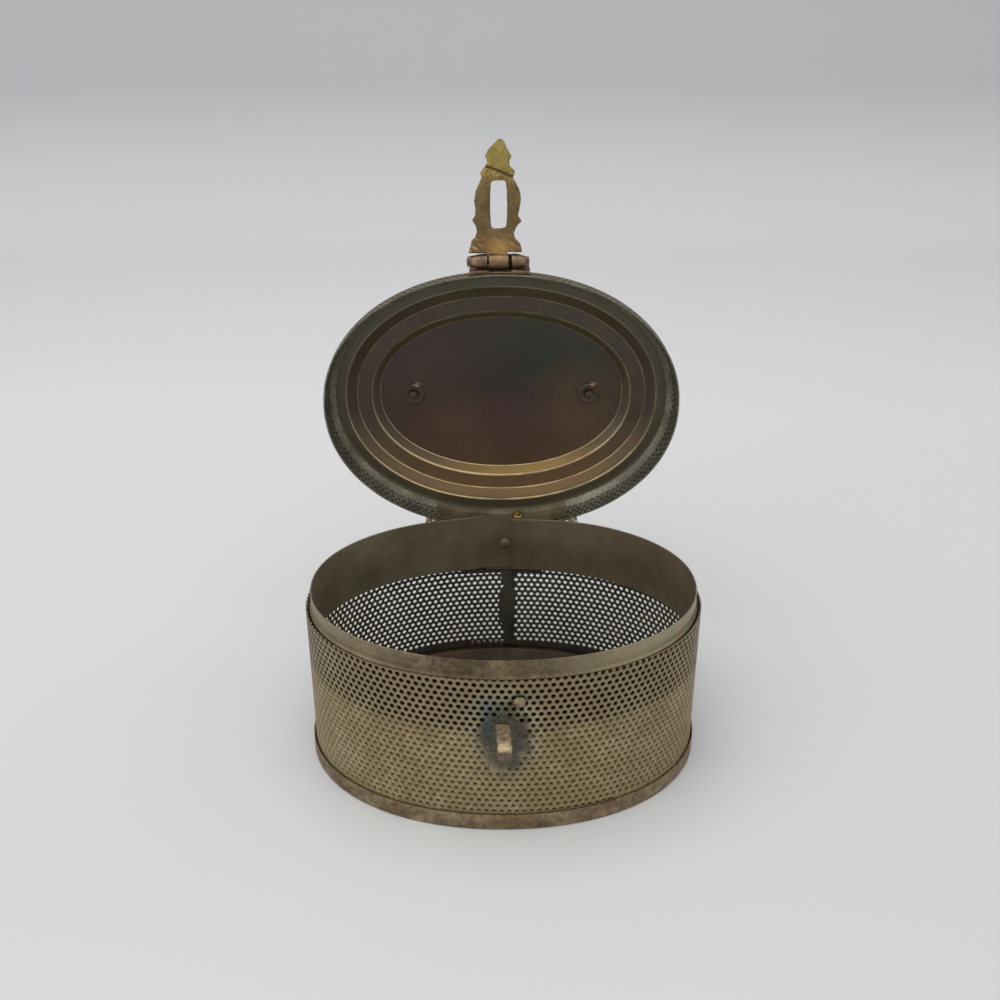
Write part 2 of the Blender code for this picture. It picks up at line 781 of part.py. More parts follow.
def prism(outline, low, high):
    """An outline across X, reaching out towards -Y from the pin, thick along Z."""
    sections = []
    for z in (low, high):
        sections.append([Vector((LATCH_X + across, hasp_pin_y - out, z)) for across, out in outline])
    made = bmesh.new()
    add_loft(made, sections, path_closed=False, profile_closed=True)
    bmesh.ops.recalc_face_normals(made, faces=made.faces)
    return made


def make_hasp(swing):
    half = HASP_THICKNESS / 2
    tongue = HASP_KNUCKLE_WIDTH / 2 - FIT
    right = [(tongue, HASP_TONGUE), (tongue, HASP_BASE)]
    right += [(HASP_HALF_WIDTH * a, HASP_REACH * b) for a, b in HASP_OUTLINE_SHARES]
    outline = right + [(-across, out) for across, out in right[-2::-1]]
    plate = prism(outline, hasp_pin_z - half, hasp_pin_z + half)
    hasp = finish_mesh("hasp", plate, YELLOW_CAST, swing)
    over = half + OVERRUN
    slot = prism(slot_outline(), hasp_pin_z - over, hasp_pin_z + over)
    boolean(hasp, cutter("hasp_slot", slot, swing))
    side = HASP_KNUCKLE_WIDTH / 2
    tube = knuckle(LATCH_X - side, LATCH_X + side, HASP_KNUCKLE_RADIUS, HASP_PIN_RADIUS + FIT)
    boolean(hasp, cutter("hasp_knuckle", tube, swing), "UNION")
    return hasp


# Handle: ears riveted through the panel, washers inside, and the bail
def make_ear(lid, name, x):
    base = panel_top + FIT
    grip = 2 * FIT + SHEET + FIT + WASHER_THICKNESS + FIT
    tail = -grip - EAR_TAIL_HEIGHT
    profile = [
        (0, EAR_FLANGE_HEIGHT),
        (EAR_FLANGE_RADIUS * 0.8, EAR_FLANGE_HEIGHT),
        (EAR_FLANGE_RADIUS, EAR_FLANGE_HEIGHT / 2),
        (EAR_FLANGE_RADIUS, 0),
        (EAR_SHANK, 0),
        (EAR_SHANK, -grip),
        (EAR_TAIL_RADIUS, -grip),
        (EAR_TAIL_RADIUS * 0.7, tail),
        (0, tail),
    ]
    ear = finish_mesh(name, turned(profile, EAR_STEPS, Vector((x, 0, base)), (0, 0, 1)), YELLOW_CAST, lid)
    half = EAR_THICKNESS / 2
    eye = turned(
        [(0, -half), (EAR_EYE_RADIUS, -half), (EAR_EYE_RADIUS, half), (0, half)],
        EAR_STEPS,
        Vector((x, 0, ear_axis_z)),
        (1, 0, 0),
    )
    boolean(ear, cutter(name + "_eye", eye, lid), "UNION")
    bore = BAIL_RADIUS + FIT
    over = half + OVERRUN
    hole = turned(
        [(0, -over), (bore, -over), (bore, over), (0, over)],
        EAR_STEPS,
        Vector((x, 0, ear_axis_z)),
        (1, 0, 0),
    )
    boolean(ear, cutter(name + "_bore", hole, lid))


def make_washer(lid, name, x):
    top = panel_top - SHEET - FIT
    bore = EAR_SHANK + FIT
    profile = [(bore, 0), (WASHER_RADIUS, 0), (WASHER_RADIUS, -WASHER_THICKNESS), (bore, -WASHER_THICKNESS)]
    sections = []
    for k in range(EAR_STEPS):
        angle = 2 * math.pi * k / EAR_STEPS
        sections.append(
            [Vector((x + r * math.cos(angle), r * math.sin(angle), top + z)) for r, z in profile]
        )
    loft(name, sections, BROWN_BAND, parent=lid)


def ear_hole(lid, name, x):
    bore = EAR_SHANK + FIT
    profile = [(0, -OVERRUN), (bore, -OVERRUN), (bore, OVERRUN), (0, OVERRUN)]
    return cutter(name, turned(profile, EAR_STEPS, Vector((x, 0, panel_top)), (0, 0, 1)), lid)


def bail_points():
    """Half of the bail's centre line, from its inner end round to the grip's middle."""
    corner = BAIL_CORNER
    bend = ear_spread + EAR_THICKNESS / 2 + FIT
    points = [(ear_spread - EAR_THICKNESS / 2 - BAIL_END, 0)]
    for angle in span(-math.pi / 2, 0, BAIL_CORNER_STEPS):
        points.append((bend + corner * math.cos(angle), corner + corner * math.sin(angle)))
    for angle in span(0, math.pi / 2, BAIL_ARC_STEPS // 2)[1:]:
        x = (bend + corner) * signed_power(math.cos(angle), BAIL_FULLNESS)
        points.append((x, corner + (BAIL_DEPTH - corner) * math.sin(angle)))
    return points


def make_bail(swing):
    half = bail_points()
    route = half + [(-x, out) for x, out in half[-2::-1]]
    curve = bpy.data.curves.new("bail_handle", "CURVE")
    curve.dimensions = "3D"
    curve.bevel_depth = BAIL_RADIUS
    curve.bevel_resolution = 2
    curve.use_fill_caps = True
    spline = curve.splines.new("POLY")
    spline.points.add(len(route) - 1)
    for point, (x, out) in zip(spline.points, route):
        point.co = (x, out, 0, 1)
    curve.materials.append(material("bail_handle", YELLOW_CAST))
    bail = bpy.data.objects.new("bail_handle", curve)
    bpy.context.scene.collection.objects.link(bail)
    bail.parent = swing


def make_box_body():
    front = wall_rivet("front_rivet", FRONT_RIVET_X, FRONT_RIVET_DROP, -1, 2, RIVET_HEAD_HEIGHT)
    back = wall_rivet("back_rivet", BACK_RIVET_X, BACK_RIVET_DROP, 1, 3, BACK_RIVET_HEAD_HEIGHT)
    make_tray()
    make_wall((wall_openings(), front, back))
    make_seam_strip()
    make_collar((front, back))
    make_staple()
    make_staple_solder()
    make_lower_leaf()
    make_hinge_pin()


def make_lid():
    lid = axis_empty("lid_hinge_axis", (0, hinge_y, hinge_z), turn=-OPEN_ANGLE)
    rivet_hole = make_hinge_rivet(lid)
    make_skirt(lid, rivet_hole)
    make_backing_plate(lid, rivet_hole)
    make_upper_leaf(lid, rivet_hole)
    sides = (("left", -ear_spread), ("right", ear_spread))
    make_top_plate(lid, [ear_hole(lid, "ear_hole_" + side, x) for side, x in sides])
    for side, x in sides:
        make_ear(lid, "handle_ear_" + side, x)
        make_washer(lid, "handle_washer_" + side, x)
    make_bracket(lid)
    make_hasp_pin(lid)
    make_hasp(axis_empty("hasp_axis", (LATCH_X, hasp_pin_y, hasp_pin_z), lid))
    make_bail(axis_empty("handle_axis", (0, 0, ear_axis_z), lid))


clear_scene()
make_box_body()
make_lid()
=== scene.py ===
import bmesh
import bpy
import json
import math
import random
from mathutils import Matrix, Vector


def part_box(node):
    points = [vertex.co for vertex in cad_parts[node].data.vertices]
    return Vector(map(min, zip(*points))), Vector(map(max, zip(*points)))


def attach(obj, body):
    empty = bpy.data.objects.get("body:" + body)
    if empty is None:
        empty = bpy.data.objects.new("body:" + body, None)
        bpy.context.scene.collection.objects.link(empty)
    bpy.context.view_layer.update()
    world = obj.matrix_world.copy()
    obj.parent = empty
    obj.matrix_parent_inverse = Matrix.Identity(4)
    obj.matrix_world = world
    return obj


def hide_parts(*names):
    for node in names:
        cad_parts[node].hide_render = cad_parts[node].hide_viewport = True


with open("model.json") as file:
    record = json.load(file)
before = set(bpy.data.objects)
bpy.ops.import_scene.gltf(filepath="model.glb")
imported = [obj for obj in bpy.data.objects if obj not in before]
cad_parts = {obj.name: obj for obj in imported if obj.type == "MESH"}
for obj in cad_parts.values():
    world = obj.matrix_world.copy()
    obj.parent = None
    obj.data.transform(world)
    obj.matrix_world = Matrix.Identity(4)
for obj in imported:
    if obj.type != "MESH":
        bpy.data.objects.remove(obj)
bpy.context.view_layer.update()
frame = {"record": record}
print("frame loaded")

mm = 0.001

# Places read from the frame. The oval is a superellipse that runs through the wall's box.
wallLow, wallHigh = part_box("perforated_wall")
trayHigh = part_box("base_tray")[1]
collarLow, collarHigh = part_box("inner_collar")
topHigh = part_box("lid_top_plate")[1]
stapleLow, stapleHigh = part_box("staple_post")
stapleX = (stapleLow.x + stapleHigh.x) / 2
stapleZ = (stapleLow.z + stapleHigh.z) / 2
joints = {joint["name"]: Vector(joint["pos_m"]) for joint in frame["record"]["behaviour"]["joints"]}
lidHinge = joints["lid_hinge"]
haspAxis = joints["hasp_hinge"]
handleAxis = joints["handle_swing"]

sheet = {
    "thickness": 0.4 * mm,
    "gap": 0.3 * mm,
    "holePitch": 2.0 * mm,  # standard staggered sheet: 1 mm holes, 2 mm apart, in rows at 60 degrees
    "wallHole": 1.3 * mm,  # worn wider than in the lid, which nobody polished
    "lidHole": 0.8 * mm,
    "chokedLip": (0.44, 0.34 * mm),  # dirt narrows the lower holes to this share of their width, this far in
    "holeSides": 8,
    "chokedSides": 7,
    "sliverArea": 0.0012 * mm * mm,  # a cell trimmed to less than this, or to less than this height, goes
    "sliverHeight": 0.04 * mm,
}
ovalShape = {
    "halfLength": (wallHigh.x - wallLow.x) / 2,
    "halfWidth": (wallHigh.y - wallLow.y) / 2,
    "squareness": 2.08,
    "steps": 288,
}
wallTop = wallHigh.z
rowPitch = sheet["holePitch"] * math.sin(math.radians(60))


# Small tools


def fromHex(code):
    # sRGB hex to the linear colour that a shader takes
    parts = [int(code[i : i + 2], 16) / 255 for i in (1, 3, 5)]
    return tuple(c / 12.92 if c <= 0.04045 else ((c + 0.055) / 1.055) ** 2.4 for c in parts) + (1.0,)


def addNode(tree, kind, inputs=(), out=0, stops=(), **settings):
    # adds a node with its settings, links and colour stops, and gives the socket that comes out of it
    node = tree.nodes.new(kind)
    for setting, value in settings.items():
        setattr(node, setting, value)
    for key, value in inputs.items() if isinstance(inputs, dict) else enumerate(inputs):
        if isinstance(value, bpy.types.NodeSocket):
            tree.links.new(value, node.inputs[key])
        else:
            node.inputs[key].default_value = value
    if stops:
        elements = node.color_ramp.elements
        for _ in stops[2:]:
            elements.new(0.5)
        for element, (at, colour) in zip(elements, stops):
            element.position = at
            element.color = fromHex(colour) if isinstance(colour, str) else (colour, colour, colour, 1.0)
    return node.outputs[out] if node.outputs else None


def signedPower(value, power):
    return math.copysign(abs(value) ** power, value)


def ovalNormal(x, y):
    power = ovalShape["squareness"] - 1
    across = signedPower(x / ovalShape["halfLength"], power) / ovalShape["halfLength"]
    along = signedPower(y / ovalShape["halfWidth"], power) / ovalShape["halfWidth"]
    return Vector((across, along)).normalized()


def ovalPoint(turn, inset=0.0):
    x = ovalShape["halfLength"] * signedPower(math.cos(turn), 2 / ovalShape["squareness"])
    y = ovalShape["halfWidth"] * signedPower(math.sin(turn), 2 / ovalShape["squareness"])
    return Vector((x, y)) - inset * ovalNormal(x, y)


def backTurn(x):
    # how far round the oval the back of the wall has this x
    return math.acos(signedPower(x / ovalShape["halfLength"], ovalShape["squareness"] / 2))


def wallY(x):
    # the wall's distance from the middle at the back, which is the same in front
    power = ovalShape["squareness"]
    return ovalShape["halfWidth"] * (1 - abs(x / ovalShape["halfLength"]) ** power) ** (1 / power)


def spread(first, last, steps):
    return [first + (last - first) * k / steps for k in range(steps + 1)]


def wholeTurn(steps):
    return [2 * math.pi * k / steps for k in range(steps)]


def smoothStep(low, high, value):
    share = min(1, max(0, (value - low) / (high - low)))
    return share * share * (3 - 2 * share)


def offsetPath(path, distance):
    # the path moved to its left, with its corners mitred
    moved = []
    for k, point in enumerate(path):
        around = [path[max(k - 1, 0)], point, path[min(k + 1, len(path) - 1)]]
        normals = []
        for start, end in zip(around, around[1:]):
            step = Vector(end) - Vector(start)
            if step.length > 0:
                step.normalize()
                normals.append(Vector((-step.y, step.x)))
        mitre = normals[0]
        if len(normals) == 2:
            mitre = (normals[0] + normals[1]) / (1 + normals[0].dot(normals[1]))
        moved.append(tuple(Vector(point) + distance * mitre))
    return moved


def softCorners(path, radius, steps=4):
    # each inner corner of a path becomes a short curve, as a press leaves it
    soft = [tuple(path[0])]
    for before, corner, after in zip(path, path[1:], path[2:]):
        here = Vector(corner)
        back, on = Vector(before) - here, Vector(after) - here
        reach = min(radius, back.length * 0.45, on.length * 0.45)
        start, end = here + back.normalized() * reach, here + on.normalized() * reach
        for k in range(steps + 1):
            t = k / steps
            soft.append(tuple(start * (1 - t) ** 2 + here * 2 * t * (1 - t) + end * t * t))
    return soft + [tuple(path[-1])]


def smoothMesh(mesh, angle):
    mesh.shade_smooth()
    mesh.set_sharp_from_angle(angle=math.radians(angle))


def shapedMesh(piece):
    # the mesh that a piece's modifiers make
    graph = bpy.context.evaluated_depsgraph_get()
    return bpy.data.meshes.new_from_object(piece.evaluated_get(graph), depsgraph=graph)


def cornerArc(x, z, radius, start):
    # a rounded corner in four points, from the start angle on
    turns = [math.radians(start + angle) for angle in (0, 30, 60, 90)]
    return [(x + radius * math.cos(turn), z + radius * math.sin(turn)) for turn in turns]


def keepMesh(name, work, finishes, angle=35):
    # turns the bmesh into an object at the origin
    mesh = bpy.data.meshes.new(name)
    work.to_mesh(mesh)
    work.free()
    piece = bpy.data.objects.new(name, mesh)
    bpy.context.scene.collection.objects.link(piece)
    for finish in finishes:
        mesh.materials.append(finish)
    smoothMesh(mesh, angle)
    return piece


def loftSections(work, sections, closedPath=False, closedProfile=True):
    # joins cross-sections with faces; an open path gets end caps, and an open profile closes at both its ends
    rows = [[work.verts.new(p) for p in section] for section in sections]
    faces = []
    for i in range(len(rows) if closedPath else len(rows) - 1):
        here, there = rows[i], rows[(i + 1) % len(rows)]
        for j in range(len(here) if closedProfile else len(here) - 1):
            k = (j + 1) % len(here)
            faces.append(work.faces.new((here[j], there[j], there[k], here[k])))
    if not closedPath:
        faces.append(work.faces.new(rows[0][::-1]))
        faces.append(work.faces.new(rows[-1]))
    if not closedProfile:
        faces.append(work.faces.new([row[0] for row in rows]))
        faces.append(work.faces.new([row[-1] for row in rows][::-1]))
    bmesh.ops.recalc_face_normals(work, faces=faces)


def sweepOval(name, profile, finishes, turns=None, closedProfile=True, angle=35):
    work = bmesh.new()
    path = turns or wholeTurn(ovalShape["steps"])
    sections = [[Vector((*ovalPoint(turn, inset), z)) for inset, z in profile] for turn in path]
    loftSections(work, sections, turns is None, closedProfile)
    return keepMesh(name, work, finishes, angle)


def turnProfile(work, profile, middle, axis, steps=32):
    # a solid of revolution: profile is radius and distance along the axis, and radius 0 is a single point
    aim = Vector((0, 0, 1)).rotation_difference(Vector(axis)).to_matrix().to_4x4()
    seat = Matrix.Translation(middle) @ aim
    rings = []
    for radius, along in profile:
        turns = wholeTurn(steps if radius else 1)
        ring = [Vector((radius * math.cos(a), radius * math.sin(a), along)) for a in turns]
        rings.append([work.verts.new(seat @ spot) for spot in ring])
    faces = []
    for low, high in zip(rings, rings[1:]):
        for k in range(steps):
            n = (k + 1) % steps
            corners = [low[k % len(low)], low[n % len(low)], high[n % len(high)], high[k % len(high)]]
            faces.append(work.faces.new(list(dict.fromkeys(corners))))
    bmesh.ops.recalc_face_normals(work, faces=faces)


def markFolds(piece, points, steps, folds):
    # folds are rubbed bright along their crests and carry a painted highlight there, which a finish reads
    # from here
    crests = {1 + steps // 2 + fold * (steps + 1) + side for fold in folds for side in (-1, 0, 1)}
    wornAndLit = piece.data.attributes.new("foldWearAndHighlight", "FLOAT", "POINT")
    for k, item in enumerate(wornAndLit.data):
        along = k % (2 * points)
        item.value = 1.0 if min(along, 2 * points - 1 - along) in crests else 0.0


def openLid(piece):
    # a lid piece is built shut and then stood open about the hinge, inside its mesh
    turn = Matrix.Rotation(-math.pi / 2, 4, "X")
    piece.data.transform(Matrix.Translation(lidHinge) @ turn @ Matrix.Translation(-lidHinge))
    return piece


def place(piece, body, *nodes):
    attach(piece, body)
    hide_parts(*nodes)


# Brass finishes


def tarnishedBrass(name, look):
    # Every finish here is old rolled or cast brass. The look gives its colours, and its sizes in mm.
    finish = bpy.data.materials.new(name)
    finish.use_nodes = True
    tree = finish.node_tree
    shader = tree.nodes["Principled BSDF"]
    shader.inputs["Metallic"].default_value = look["metallic"]
    where = addNode(tree, "ShaderNodeTexCoord", out="Object")
    inMm = addNode(tree, "ShaderNodeVectorMath", {0: where, "Scale": 1 / mm}, operation="SCALE")
    noise = {}
    details = (("patch", 4, 0.6), ("cloud", 3, 0.55), ("grain", 5, 0.7), ("mottle", 6, 0.72))
    for part, detail, rough in details:
        size = {"Vector": inMm, "Scale": 1 / look[part + "Size"], "Detail": detail, "Roughness": rough}
        noise[part] = addNode(tree, "ShaderNodeTexNoise", size)
    spacing = {"Vector": inMm, "Scale": 1 / look["spotSpacing"]}
    spots = addNode(tree, "ShaderNodeTexVoronoi", spacing, "Distance")
    spotEdge = addNode(tree, "ShaderNodeMath", [noise["grain"], 0.45, spots], operation="MULTIPLY_ADD")
    ground = [(0.36, look["dark"]), (0.5, look["base"]), (0.66, look["light"])]
    made = {"finish": finish, "tree": tree, "shader": shader, "mm": inMm, "grain": noise["grain"]}
    made["colour"] = addNode(tree, "ShaderNodeValToRGB", [noise["patch"]], stops=ground)
    for colour, factor, stops in (
        (look["cast"], noise["cloud"], [(0.42, 0.0), (0.68, look["castShare"])]),
        (look["spot"], spotEdge, [(0.24, look["spotShare"]), (0.36, 0.0)]),
    ):
        paint(made, colour, addNode(tree, "ShaderNodeValToRGB", [factor], stops=stops))
    mottle = addNode(tree, "ShaderNodeValToRGB", [noise["mottle"]], stops=[(0.34, 0.12), (0.66, 0.88)])
    paint(made, mottle, look["mottleShare"], blend="OVERLAY")
    rough = addNode(tree, "ShaderNodeMapRange", [noise["cloud"], 0.35, 0.65, *look["roughness"]])
    tree.links.new(rough, shader.inputs["Roughness"])
    pits = {"Height": noise["grain"], "Strength": look["bump"], "Distance": look["grainDepth"] * mm}
    dents = {"Height": noise["cloud"], "Strength": look["dents"], "Distance": 0.25 * mm}
    dents["Normal"] = addNode(tree, "ShaderNodeBump", pits)
    made["normal"] = addNode(tree, "ShaderNodeBump", dents)
    return made


def closeFinish(made):
    made["tree"].links.new(made["colour"], made["shader"].inputs["Base Color"])
    made["tree"].links.new(made["normal"], made["shader"].inputs["Normal"])
    return made["finish"]


def paint(made, colour, where, share=1.0, blend="MIX"):
    # lays a colour over the finish, as far as where and share say
    tree = made["tree"]
    if share != 1.0:
        where = addNode(tree, "ShaderNodeMath", [where, share], operation="MULTIPLY")
    if isinstance(colour, str):
        colour = fromHex(colour)
    layers = {0: where, 6: made["colour"], 7: colour}
    made["colour"] = addNode(tree, "ShaderNodeMix", layers, 2, data_type="RGBA", blend_type=blend)


def fade(made, axis, start, end, most=1.0):
    # grows from nothing to its most between two places along an axis, in mm
    along = addNode(made["tree"], "ShaderNodeSeparateXYZ", [made["mm"]], axis)
    return addNode(made["tree"], "ShaderNodeMapRange", [along, start, end, 0.0, most])


def drawn(made, layer):
    # what a mesh says of itself: how far its folds are worn and lit by a painted highlight, or how much grime
    # its holes hold
    return addNode(made["tree"], "ShaderNodeAttribute", out="Fac", attribute_name=layer)


def spotShade(made, centre, reach, soft, wobble):
    # 1 inside an ellipsoid of that reach in mm, fading out over its soft share, with a ragged edge
    tree = made["tree"]
    away = addNode(tree, "ShaderNodeVectorMath", [made["mm"], centre], operation="SUBTRACT")
    scaled = addNode(tree, "ShaderNodeVectorMath", [away, reach], operation="DIVIDE")
    far = addNode(tree, "ShaderNodeVectorMath", [scaled], "Value", operation="LENGTH")
    ragged = addNode(tree, "ShaderNodeTexNoise", {"Vector": made["mm"], "Scale": 0.35, "Detail": 4})
    shifted = addNode(tree, "ShaderNodeMath", [ragged, wobble, far], operation="MULTIPLY_ADD")
    middle = wobble / 2
    return addNode(tree, "ShaderNodeMapRange", [shifted, 1 - soft + middle, 1 + soft + middle, 1.0, 0.0])


khakiLook = {
    "base": "#a1906a", "dark": "#978661", "light": "#ad9e79", "cast": "#9b8258", "castShare": 0.35,
    "spot": "#5c4a32", "spotShare": 0.6, "patchSize": 9.0, "cloudSize": 16.0, "grainSize": 0.55,
    "spotSpacing": 9.5, "mottleSize": 1.1, "mottleShare": 0.42, "roughness": (0.40, 0.56), "metallic": 0.6,
    "bump": 0.35, "grainDepth": 0.03, "dents": 0.25,
}
collarLook = {
    "base": "#6b5a44", "dark": "#564735", "light": "#7f6f56", "cast": "#635d45", "castShare": 0.35,
    "spot": "#54442f", "spotShare": 0.6, "patchSize": 7.0, "cloudSize": 11.0, "grainSize": 0.4,
    "spotSpacing": 5.5, "mottleSize": 1.6, "mottleShare": 0.58, "roughness": (0.34, 0.52), "metallic": 0.7,
    "bump": 0.3, "grainDepth": 0.025, "dents": 0.3,
}
lidLook = dict(
    khakiLook, base="#726f5e", dark="#625f50", light="#858170", cast="#676152", spotShare=0.15,
    roughness=(0.45, 0.6), castShare=0.4, metallic=0.35, mottleSize=0.7, mottleShare=0.6,
)
castLook = {
    "base": "#97834f", "dark": "#6e5b39", "light": "#b8a362", "cast": "#806641", "castShare": 0.5,
    "spot": "#4c3a22", "spotShare": 0.8, "patchSize": 3.2, "cloudSize": 5.0, "grainSize": 0.5,
    "spotSpacing": 1.3, "mottleSize": 0.6, "mottleShare": 0.75, "roughness": (0.36, 0.55), "metallic": 0.9,
    "bump": 0.8, "grainDepth": 0.14, "dents": 0.5,
}
# Finishes that are one look with a few changes: name, look, changes.
plainFinishes = {
    # The wall's inner face never got rubbed, so it kept its dark grey brown oxide.
    "wallInside": ("innerWallOxide", khakiLook, dict(
        base="#4c4a42", dark="#3f3e38", light="#59564b", cast="#54483a", spotShare=0.3, mottleShare=0.28,
        roughness=(0.42, 0.6), castShare=0.4, metallic=0.3,
    )),
    # Stamped brass round the foot, browner than the wall and rubbed lighter where it is handled.
    "band": ("brownFootBrass", collarLook, dict(
        base="#7f6e55", dark="#6a5943", light="#928063", cast="#73593f", castShare=0.5,
    )),
    # Underside of the hinge tab: the wall's sheet, painted pale to stand in for the light that the lid and
    # box keep off it.
    "tab": ("tabBrassPaintedLight", khakiLook, dict(
        base="#b3a789", dark="#9a8f72", light="#c6bb9e", spotShare=0.3,
    )),
    # Outside of the lid: pressed from plain brass, a dark olive that large soft clouds of tarnish break up.
    "lidTop": ("pressedKhakiBrass", lidLook, dict(
        base="#6b6450", dark="#59533f", light="#7d755c", cast="#665b42", mottleSize=2.0, mottleShare=0.45,
    )),
    # Painted shade: nearly black brass for places between two sheets or in a narrow gap, where shade falls.
    "shade": ("paintedShadeBlack", collarLook, dict(
        base="#2a2117", dark="#1f1911", light="#352a1d", cast="#2a1f16", spotShare=0.2, roughness=(0.6, 0.75),
        metallic=0.9, mottleShare=0.2,
    )),
    # Thin plain brass backing, dull yellow brown.
    "plate": ("plainBackingBrass", collarLook, dict(
        base="#5f553f", dark="#4e4634", light="#6d6148", cast="#564c38", mottleShare=0.2,
        roughness=(0.5, 0.65), metallic=0.4,
    )),
    # The bracket's cast knuckles, grey pink where the brass has lost zinc.
    "knuckle": ("brownCastBrass", castLook, dict(
        base="#7c6852", dark="#5c4a39", light="#94806a", cast="#6f5440", mottleShare=0.5,
    )),
    # Soft solder with flux left on it: matt, grey brown and lumpy.
    "solder": ("stainedSolder", castLook, dict(
        base="#565149", dark="#484740", light="#666054", cast="#4c5048", spot="#35342e", patchSize=2.2,
        roughness=(0.55, 0.75), metallic=0.5, mottleShare=0.45, bump=0.7,
    )),
    # Rivet heads are polished by touch and stay pale.
    "rivet": ("paleRivetBrass", castLook, dict(
        base="#9c9078", dark="#7c705a", light="#b4a88c", cast="#8f7c5c", patchSize=1.2, spotSpacing=1.4,
        spotShare=0.3, mottleShare=0.35, bump=0.3, roughness=(0.3, 0.45),
    )),
    # The hinge rivet, scraped to yellow metal by the lid's swing.
    "goldRivet": ("scrapedYellowBrass", castLook, dict(
        base="#8f7a4c", dark="#5c4b30", light="#b5a06c", cast="#78623e", patchSize=1.0, spotSpacing=1.2,
        spotShare=0.4, mottleShare=0.6, bump=0.6, roughness=(0.28, 0.4),
    )),
}
wallStain = {
    "upper": "#877862",  # the wall is browner above the dirt
    "grime": "#514128",
    # the ring is painted shade round the rivet
    "ring": "#4b4537",  # round the rivet
    "depth": 9.0,
    # place and reach from the staple in mm, softness, raggedness, colour, share
    "patches": (
        ((0.6, -1.2), (9.2, 12.6), 0.2, 0.7, "#a8a68a", 0.75),
        ((0.1, -2.8), (7.2, 10.2), 0.22, 1.0, "#655c4d", 0.95),
        ((-3.6, 5.2), (3.6, 4.6), 0.5, 0.8, "#656f70", 0.7),
        ((1.0, 5.0), (3.4, 4.4), 0.5, 0.8, "#68664f", 0.5),
        ((0.6, -8.4), (5.2, 6.6), 0.5, 0.9, "#4c4738", 0.7),
        ((-3.1, -0.6), (2.8, 5.4), 0.4, 0.8, "#3c3e38", 0.8),
        ((3.6, -0.6), (2.4, 5.0), 0.4, 0.8, "#47403a", 0.7),
    ),
}


def wallBrass():
    # Rolled and pierced brass sheet, dulled to khaki, with brown dirt in its lower holes.
    # Flux from the staple's solder has stained it grey and teal, and painted shade darkens it in a ring round
    # the rivet.
    made = tarnishedBrass("piercedKhakiBrass", khakiLook)
    tree = made["tree"]
    front, depth = -ovalShape["halfWidth"] / mm, wallStain["depth"]
    paint(made, wallStain["upper"], fade(made, "Z", 29.0, 34.0, 0.6))
    for (x, z), (wide, tall), soft, ragged, code, share in wallStain["patches"]:
        spot = (stapleX / mm + x, front, stapleZ / mm + z)
        paint(made, code, spotShade(made, spot, (wide, depth, tall), soft, ragged), share)
    # the flux dried in specks about half a millimetre across
    fine = {"Vector": made["mm"], "Scale": 2.0, "Detail": 5, "Roughness": 0.75}
    specks = addNode(tree, "ShaderNodeTexNoise", fine)
    light = addNode(tree, "ShaderNodeValToRGB", [specks], stops=[(0.36, 0.24), (0.64, 0.78)])
    stained = spotShade(made, (stapleX / mm + 0.2, front, stapleZ / mm - 2.4), (7.6, depth, 11.6), 0.2, 0.8)
    paint(made, light, stained, blend="OVERLAY")
    low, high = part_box("front_rivet")
    rivetAt = ((low.x + high.x) / 2 / mm, low.y / mm, (low.z + high.z) / 2 / mm)
    # painted shade: a dark ring round the front rivet
    paint(made, wallStain["ring"], spotShade(made, rivetAt, (2.3, 3.0, 2.3), 0.25, 0.3))
    paint(made, wallStain["grime"], drawn(made, "holeGrime"))
    return closeFinish(made)


def collarBrass():
    # Plain rolled strip, handled bright along the rim, with green and coppery bloom towards the right.
    made = tarnishedBrass("rubbedCollarBrass", collarLook)
    tree = made["tree"]
    rightSide = fade(made, "X", 8.0, 34.0)
    leftEnd = fade(made, "X", -22.0, -46.0, 0.5)
    rightEnd = addNode(tree, "ShaderNodeMath", [rightSide, 0.8], operation="MULTIPLY")
    paint(made, "#a89c80", addNode(tree, "ShaderNodeMath", [leftEnd, rightEnd], operation="MAXIMUM"))
    broad = {"Vector": made["mm"], "Scale": 0.14, "Detail": 4, "Roughness": 0.65}
    bloom = addNode(tree, "ShaderNodeTexNoise", broad)
    for code, stops in (("#84906f", [(0.50, 0.0), (0.62, 0.75)]), ("#a8825c", [(0.34, 0.6), (0.44, 0.0)])):
        paint(made, code, addNode(tree, "ShaderNodeValToRGB", [bloom], stops=stops), rightSide)
    return closeFinish(made)


def darkCollarBrass():
    # The same strip's inner face: an even brown oxide with a slight sheen.
    look = dict(
        collarLook, base="#7c735c", dark="#6d6550", light="#878066", cast="#75664f", spotShare=0.12,
        roughness=(0.36, 0.5), mottleShare=0.14, metallic=0.3, patchSize=16.0, bump=0.12, dents=0.12,
    )
    made = tarnishedBrass("innerCollarOxide", look)
    paint(made, "#695647", fade(made, "X", -22.0, 6.0), 0.45)
    return closeFinish(made)


def floorBrass():
    # Inside of the tray: purple brown heat colour left by soldering.
    look = dict(
        collarLook, base="#332c23", dark="#2a251e", light="#3c3529", cast="#422f22", castShare=0.6,
        mottleShare=0.2, roughness=(0.42, 0.56), metallic=0.85,
    )
    made = tarnishedBrass("heatColouredFloor", look)
    paint(made, "#553a2c", fade(made, "X", -6.0, -26.0, 0.6))
    # painted highlight, partly wear, along the ridge's crest
    paint(made, "#a08472", drawn(made, "foldWearAndHighlight"), 0.6)
    return closeFinish(made)


def lidMeshBrass(name, look):
    # The lid's pierced band, near black round each hole. Inside it is a dark grey green oxide that no hand
    # has rubbed, and outside the wall's khaki brass, a little darker for want of handling.
    made = tarnishedBrass(name, look)
    paint(made, "#2b2a24", drawn(made, "holeGrime"), 2.0)
    return closeFinish(made)


